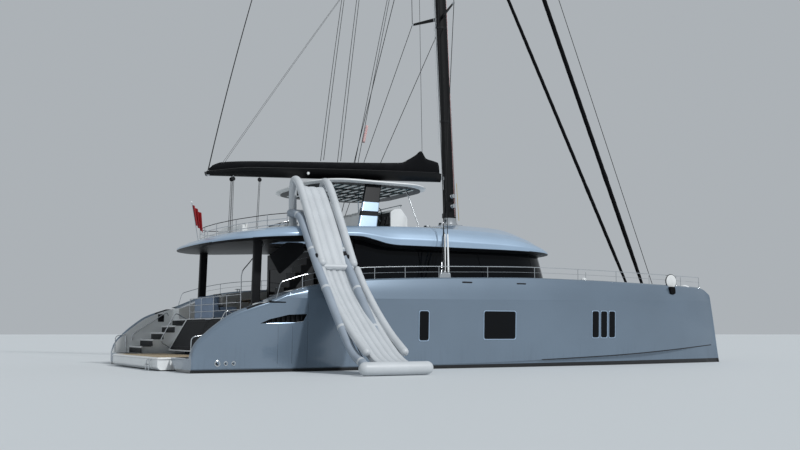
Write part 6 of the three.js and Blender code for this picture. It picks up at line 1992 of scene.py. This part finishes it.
class CatamaranCockpit(bpy.types.Operator):
    """Cockpit under the roof: posts, sofa and cushions, table, stairs, side screen, chairs and the rail"""
    bl_idname = "catamaran.cockpit"
    bl_label = "Cockpit"

    def execute(self, context):
        ends = [spots(*rectangle((x, 2.955), (x + 0.3, 3.145), 0.05, 4).T, z)
                for x, z in ((-9.05, FLOOR_Z + CLEAR), (-8.974, 4.47))]
        foot = plate(rectangle((-9.13, 2.88), (-8.67, 3.22), 0.05), on_floor(FLOOR_Z + 0.001), 0.0, 0.014)
        pair("roof_post", [skin(ends), foot], [charcoal(), steel()], "charcoal", "cockpit_post")
        bench("cockpit_bench", (-9.25, -8.25), (0.4, 2.75), FLOOR_Z, 2.23, 2.68, 0.23, cushion_cloth(),
              "cockpit_sofa", 3, cushion_cloth())
        cushion("cockpit_pillow", (-8.98, 0.5, 2.26), (-8.82, 0.95, 2.71), white_cloth(), white_cloth())
        top = plate(rectangle((-7.7, 0.7), (-6.9, 2.4), 0.12, 8), on_floor(2.49), -0.008, 0.05)
        frame_band = border(rectangle((-7.66, 0.74), (-6.94, 2.36), 0.1, 8), 0.04, on_floor(2.48), 0.0, 0.045)
        pillar = lathe([[0, 0], [0.3, 0], [0.3, 0.02], [0.1, 0.05], [0.09, 0.6], [0.18, 0.67], [0, 0.68]],
                       32, 2, (-7.3, 1.55, FLOOR_Z + 0.001))
        piece("dining_table", [top, frame_band, pillar], [teak(), charcoal(), steel()], slot="charcoal",
              replaces="cockpit_table")
        rise = (FLY_FLOOR_Z - FLOOR_Z) / STAIR["risers"]
        floor, y = FLOOR_Z + CLEAR, STAIR["y"]
        outline = [[STAIR["foot"], floor]]
        for i in range(STAIR["risers"]):
            x, z = STAIR["foot"] + i * STAIR["run"], FLOOR_Z + (i + 1) * rise
            outline += [[x, z - 0.002], [x + STAIR["run"] * (i < STAIR["risers"] - 1), z - 0.002]]
        outline += [[STAIR_TOP_X, FLY_FLOOR_Z - rise - 0.26], [STAIR["foot"] + 0.26, floor]]
        treads, edges = [], []
        for i in range(STAIR["risers"] - 1):
            x, z = STAIR["foot"] + i * STAIR["run"], FLOOR_Z + (i + 1) * rise
            treads.append(plate(rectangle((x + 0.03, y[0] + 0.04), (x + 0.21, y[1] - 0.04), 0.02),
                                on_floor(z - 0.003), 0.0, 0.008))
            edges.append(tube(spots(x + 0.006, [y[0] + 0.01, y[1] - 0.01], z - 0.004), 0.009, 8))
        grip = spots([-8.97, -8.97, -8.72, -7.45, -7.1, -7.1], y[1] + 0.04,
                     [floor, 3.44, 3.72, 5.3, 5.4, FLY_FLOOR_Z + 0.01])
        grip = rounded(grip, [0, 0.2, 0.3, 0.2, 0.1, 0], 6, closed=False)
        piece("stair_flight", [carried(outline, 1, *y), joined(treads), joined(edges), tube(grip, 0.02, 12)],
              [charcoal(), teak(), steel(), steel()], slot="charcoal", replaces="flybridge_stairs")
        feet = [[-9.38, side, FLOOR_Z + CLEAR] for side in (-2.95, -1.475, 0.0, 1.475, 2.95)]
        lower, top = rail_of(feet, (1, 0.66, 0.33), 0.785, 0.014)
        piece("cockpit_guard", lower + top, steel(), slot="steel", replaces="cockpit_rail", sharp=40)
        screen = carried(rounded([[-8.5, 3.95], [-7.86, 4.44], [-7.2, 4.44], [-7.2, 4.1], [-8.1, 3.3]],
                                 0.08), 1, -3.34, -3.3)
        chairs = []
        for y0 in (2.98, 3.5):
            shell = skin([spots(-8.05 + lean, *rectangle((y0 - half, z), (y0 + half, z + 0.02), 0.008).T)
                          for lean, half, z in ((0.0, 0.24, 2.2), (-0.06, 0.25, 2.5), (-0.12, 0.22, 2.8))])
            seat = block((-8.05, -7.6), (y0 - 0.24, y0 + 0.24), (2.2, 2.235))
            legs = [tube([[x, y0 + d, FLOOR_Z + 0.001], [x, y0 + d, 2.2]], 0.012, 8)
                    for x in (-8.02, -7.63) for d in (-0.22, 0.22)]
            slats = [block((-8.09, -8.06), (y0 - 0.22, y0 + 0.22), (2.34, 2.42)).moved(-0.05 * k, 0, 0.14 * k)
                     for k in range(3)]
            chairs.append((shell + seat + joined(slats), joined(legs)))
        piece("cockpit_chairs", [joined([a for a, _ in chairs]), joined([b for _, b in chairs]), screen],
              [charcoal(), steel(), charcoal()], slot="charcoal", bevel=0.004)
        return {"FINISHED"}


class CatamaranStageSet(bpy.types.Operator):
    """The camera at the photograph's place, a pale floor at the waterline and soft light"""
    bl_idname = "catamaran.stage"
    bl_label = "Stage"

    def execute(self, context):
        scene, stage = context.scene, context.scene.catamaran_stage
        lens = bpy.data.cameras.new("camera")
        lens.lens = 45
        lens.sensor_width = 36
        lens.clip_end = 2000
        camera = placed("camera", lens)
        camera.location = (-21.3, -36.1, 1.31)
        camera.rotation_euler = (math.radians(90 + 6.07), 0, math.radians(-28.8))
        scene.camera = camera
        angle = once_round(96)
        disc = [[[r * math.cos(a), r * math.sin(a), 0] for a in angle] for r in (0.001, 60, stage.floor)]
        mesh = bpy.data.meshes.new("floor")
        flat = skin(disc, caps=False)
        mesh.from_pydata(flat.points.tolist(), [], flat.faces)
        mesh.materials.append(floor_paint())
        floor = placed("floor", mesh)
        floor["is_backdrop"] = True
        world = bpy.data.worlds.new("sky")
        world.use_nodes = True
        background = world.node_tree.nodes["Background"]
        background.inputs["Color"].default_value = (*stage.sky_colour, 1)
        background.inputs["Strength"].default_value = stage.sky
        scene.world = world
        scene.view_settings.view_transform = "Standard"
        for name, strength, turn, width in (("key", stage.sun, (48, 0, 19), 4),
                                            ("fill", 0.2, (62, 0, -60), 60)):
            light = bpy.data.lights.new(name, "SUN")
            light.energy = strength
            light.angle = math.radians(width)
            lamp = placed(name, light)
            lamp.rotation_euler = [math.radians(v) for v in turn]
        return {"FINISHED"}


# The order in which the pieces are made
OPERATORS = (CatamaranStageSet, CatamaranHulls, CatamaranHullFittings, CatamaranUnderwater, CatamaranStern,
             CatamaranDecks, CatamaranHouse, CatamaranHardtop, CatamaranMast, CatamaranBoom, CatamaranRigging,
             CatamaranSlide, CatamaranEnsign, CatamaranDeckRails, CatamaranForedeck, CatamaranFlybridge,
             CatamaranCockpit)
GROUPS = {"catamaran_finishes": CatamaranFinishes, "catamaran_hull": CatamaranHull,
          "catamaran_rig": CatamaranRig, "catamaran_cushions": CatamaranCushions,
          "catamaran_stage": CatamaranStage}


class CatamaranPanel(bpy.types.Panel):
    """Sizes, colours and pieces of the catamaran"""
    bl_idname = "VIEW3D_PT_catamaran"
    bl_label = "Catamaran"
    bl_space_type = "VIEW_3D"
    bl_region_type = "UI"
    bl_category = "Catamaran"

    def draw(self, context):
        for name, group in GROUPS.items():
            box = self.layout.box()
            box.label(text=group.__doc__)
            for key in group.__annotations__:
                box.prop(getattr(context.scene, name), key)
        for operator in OPERATORS:
            self.layout.operator(operator.bl_idname)


def register():
    """Adds the classes to Blender and the sizes and colours to its scenes."""
    for item in (*GROUPS.values(), *OPERATORS, CatamaranPanel):
        bpy.utils.register_class(item)
    for name, group in GROUPS.items():
        setattr(bpy.types.Scene, name, PointerProperty(type=group))


def unregister():
    """Takes them away again."""
    for name in GROUPS:
        delattr(bpy.types.Scene, name)
    for item in (CatamaranPanel, *reversed(OPERATORS), *reversed(GROUPS.values())):
        bpy.utils.unregister_class(item)


def main():
    """Makes every piece in turn, and works out the frame's box and the dressed boat's."""
    register()
    for operator in OPERATORS:
        group, name = operator.bl_idname.split(".")
        getattr(getattr(bpy.ops, group), name)()
    sizes = {"cad": CAD_BOX, "visual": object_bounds()}
    plain = {key: [[float(v) for v in corner] for corner in box] for key, box in sizes.items()}


if __name__ == "__main__":
    main()
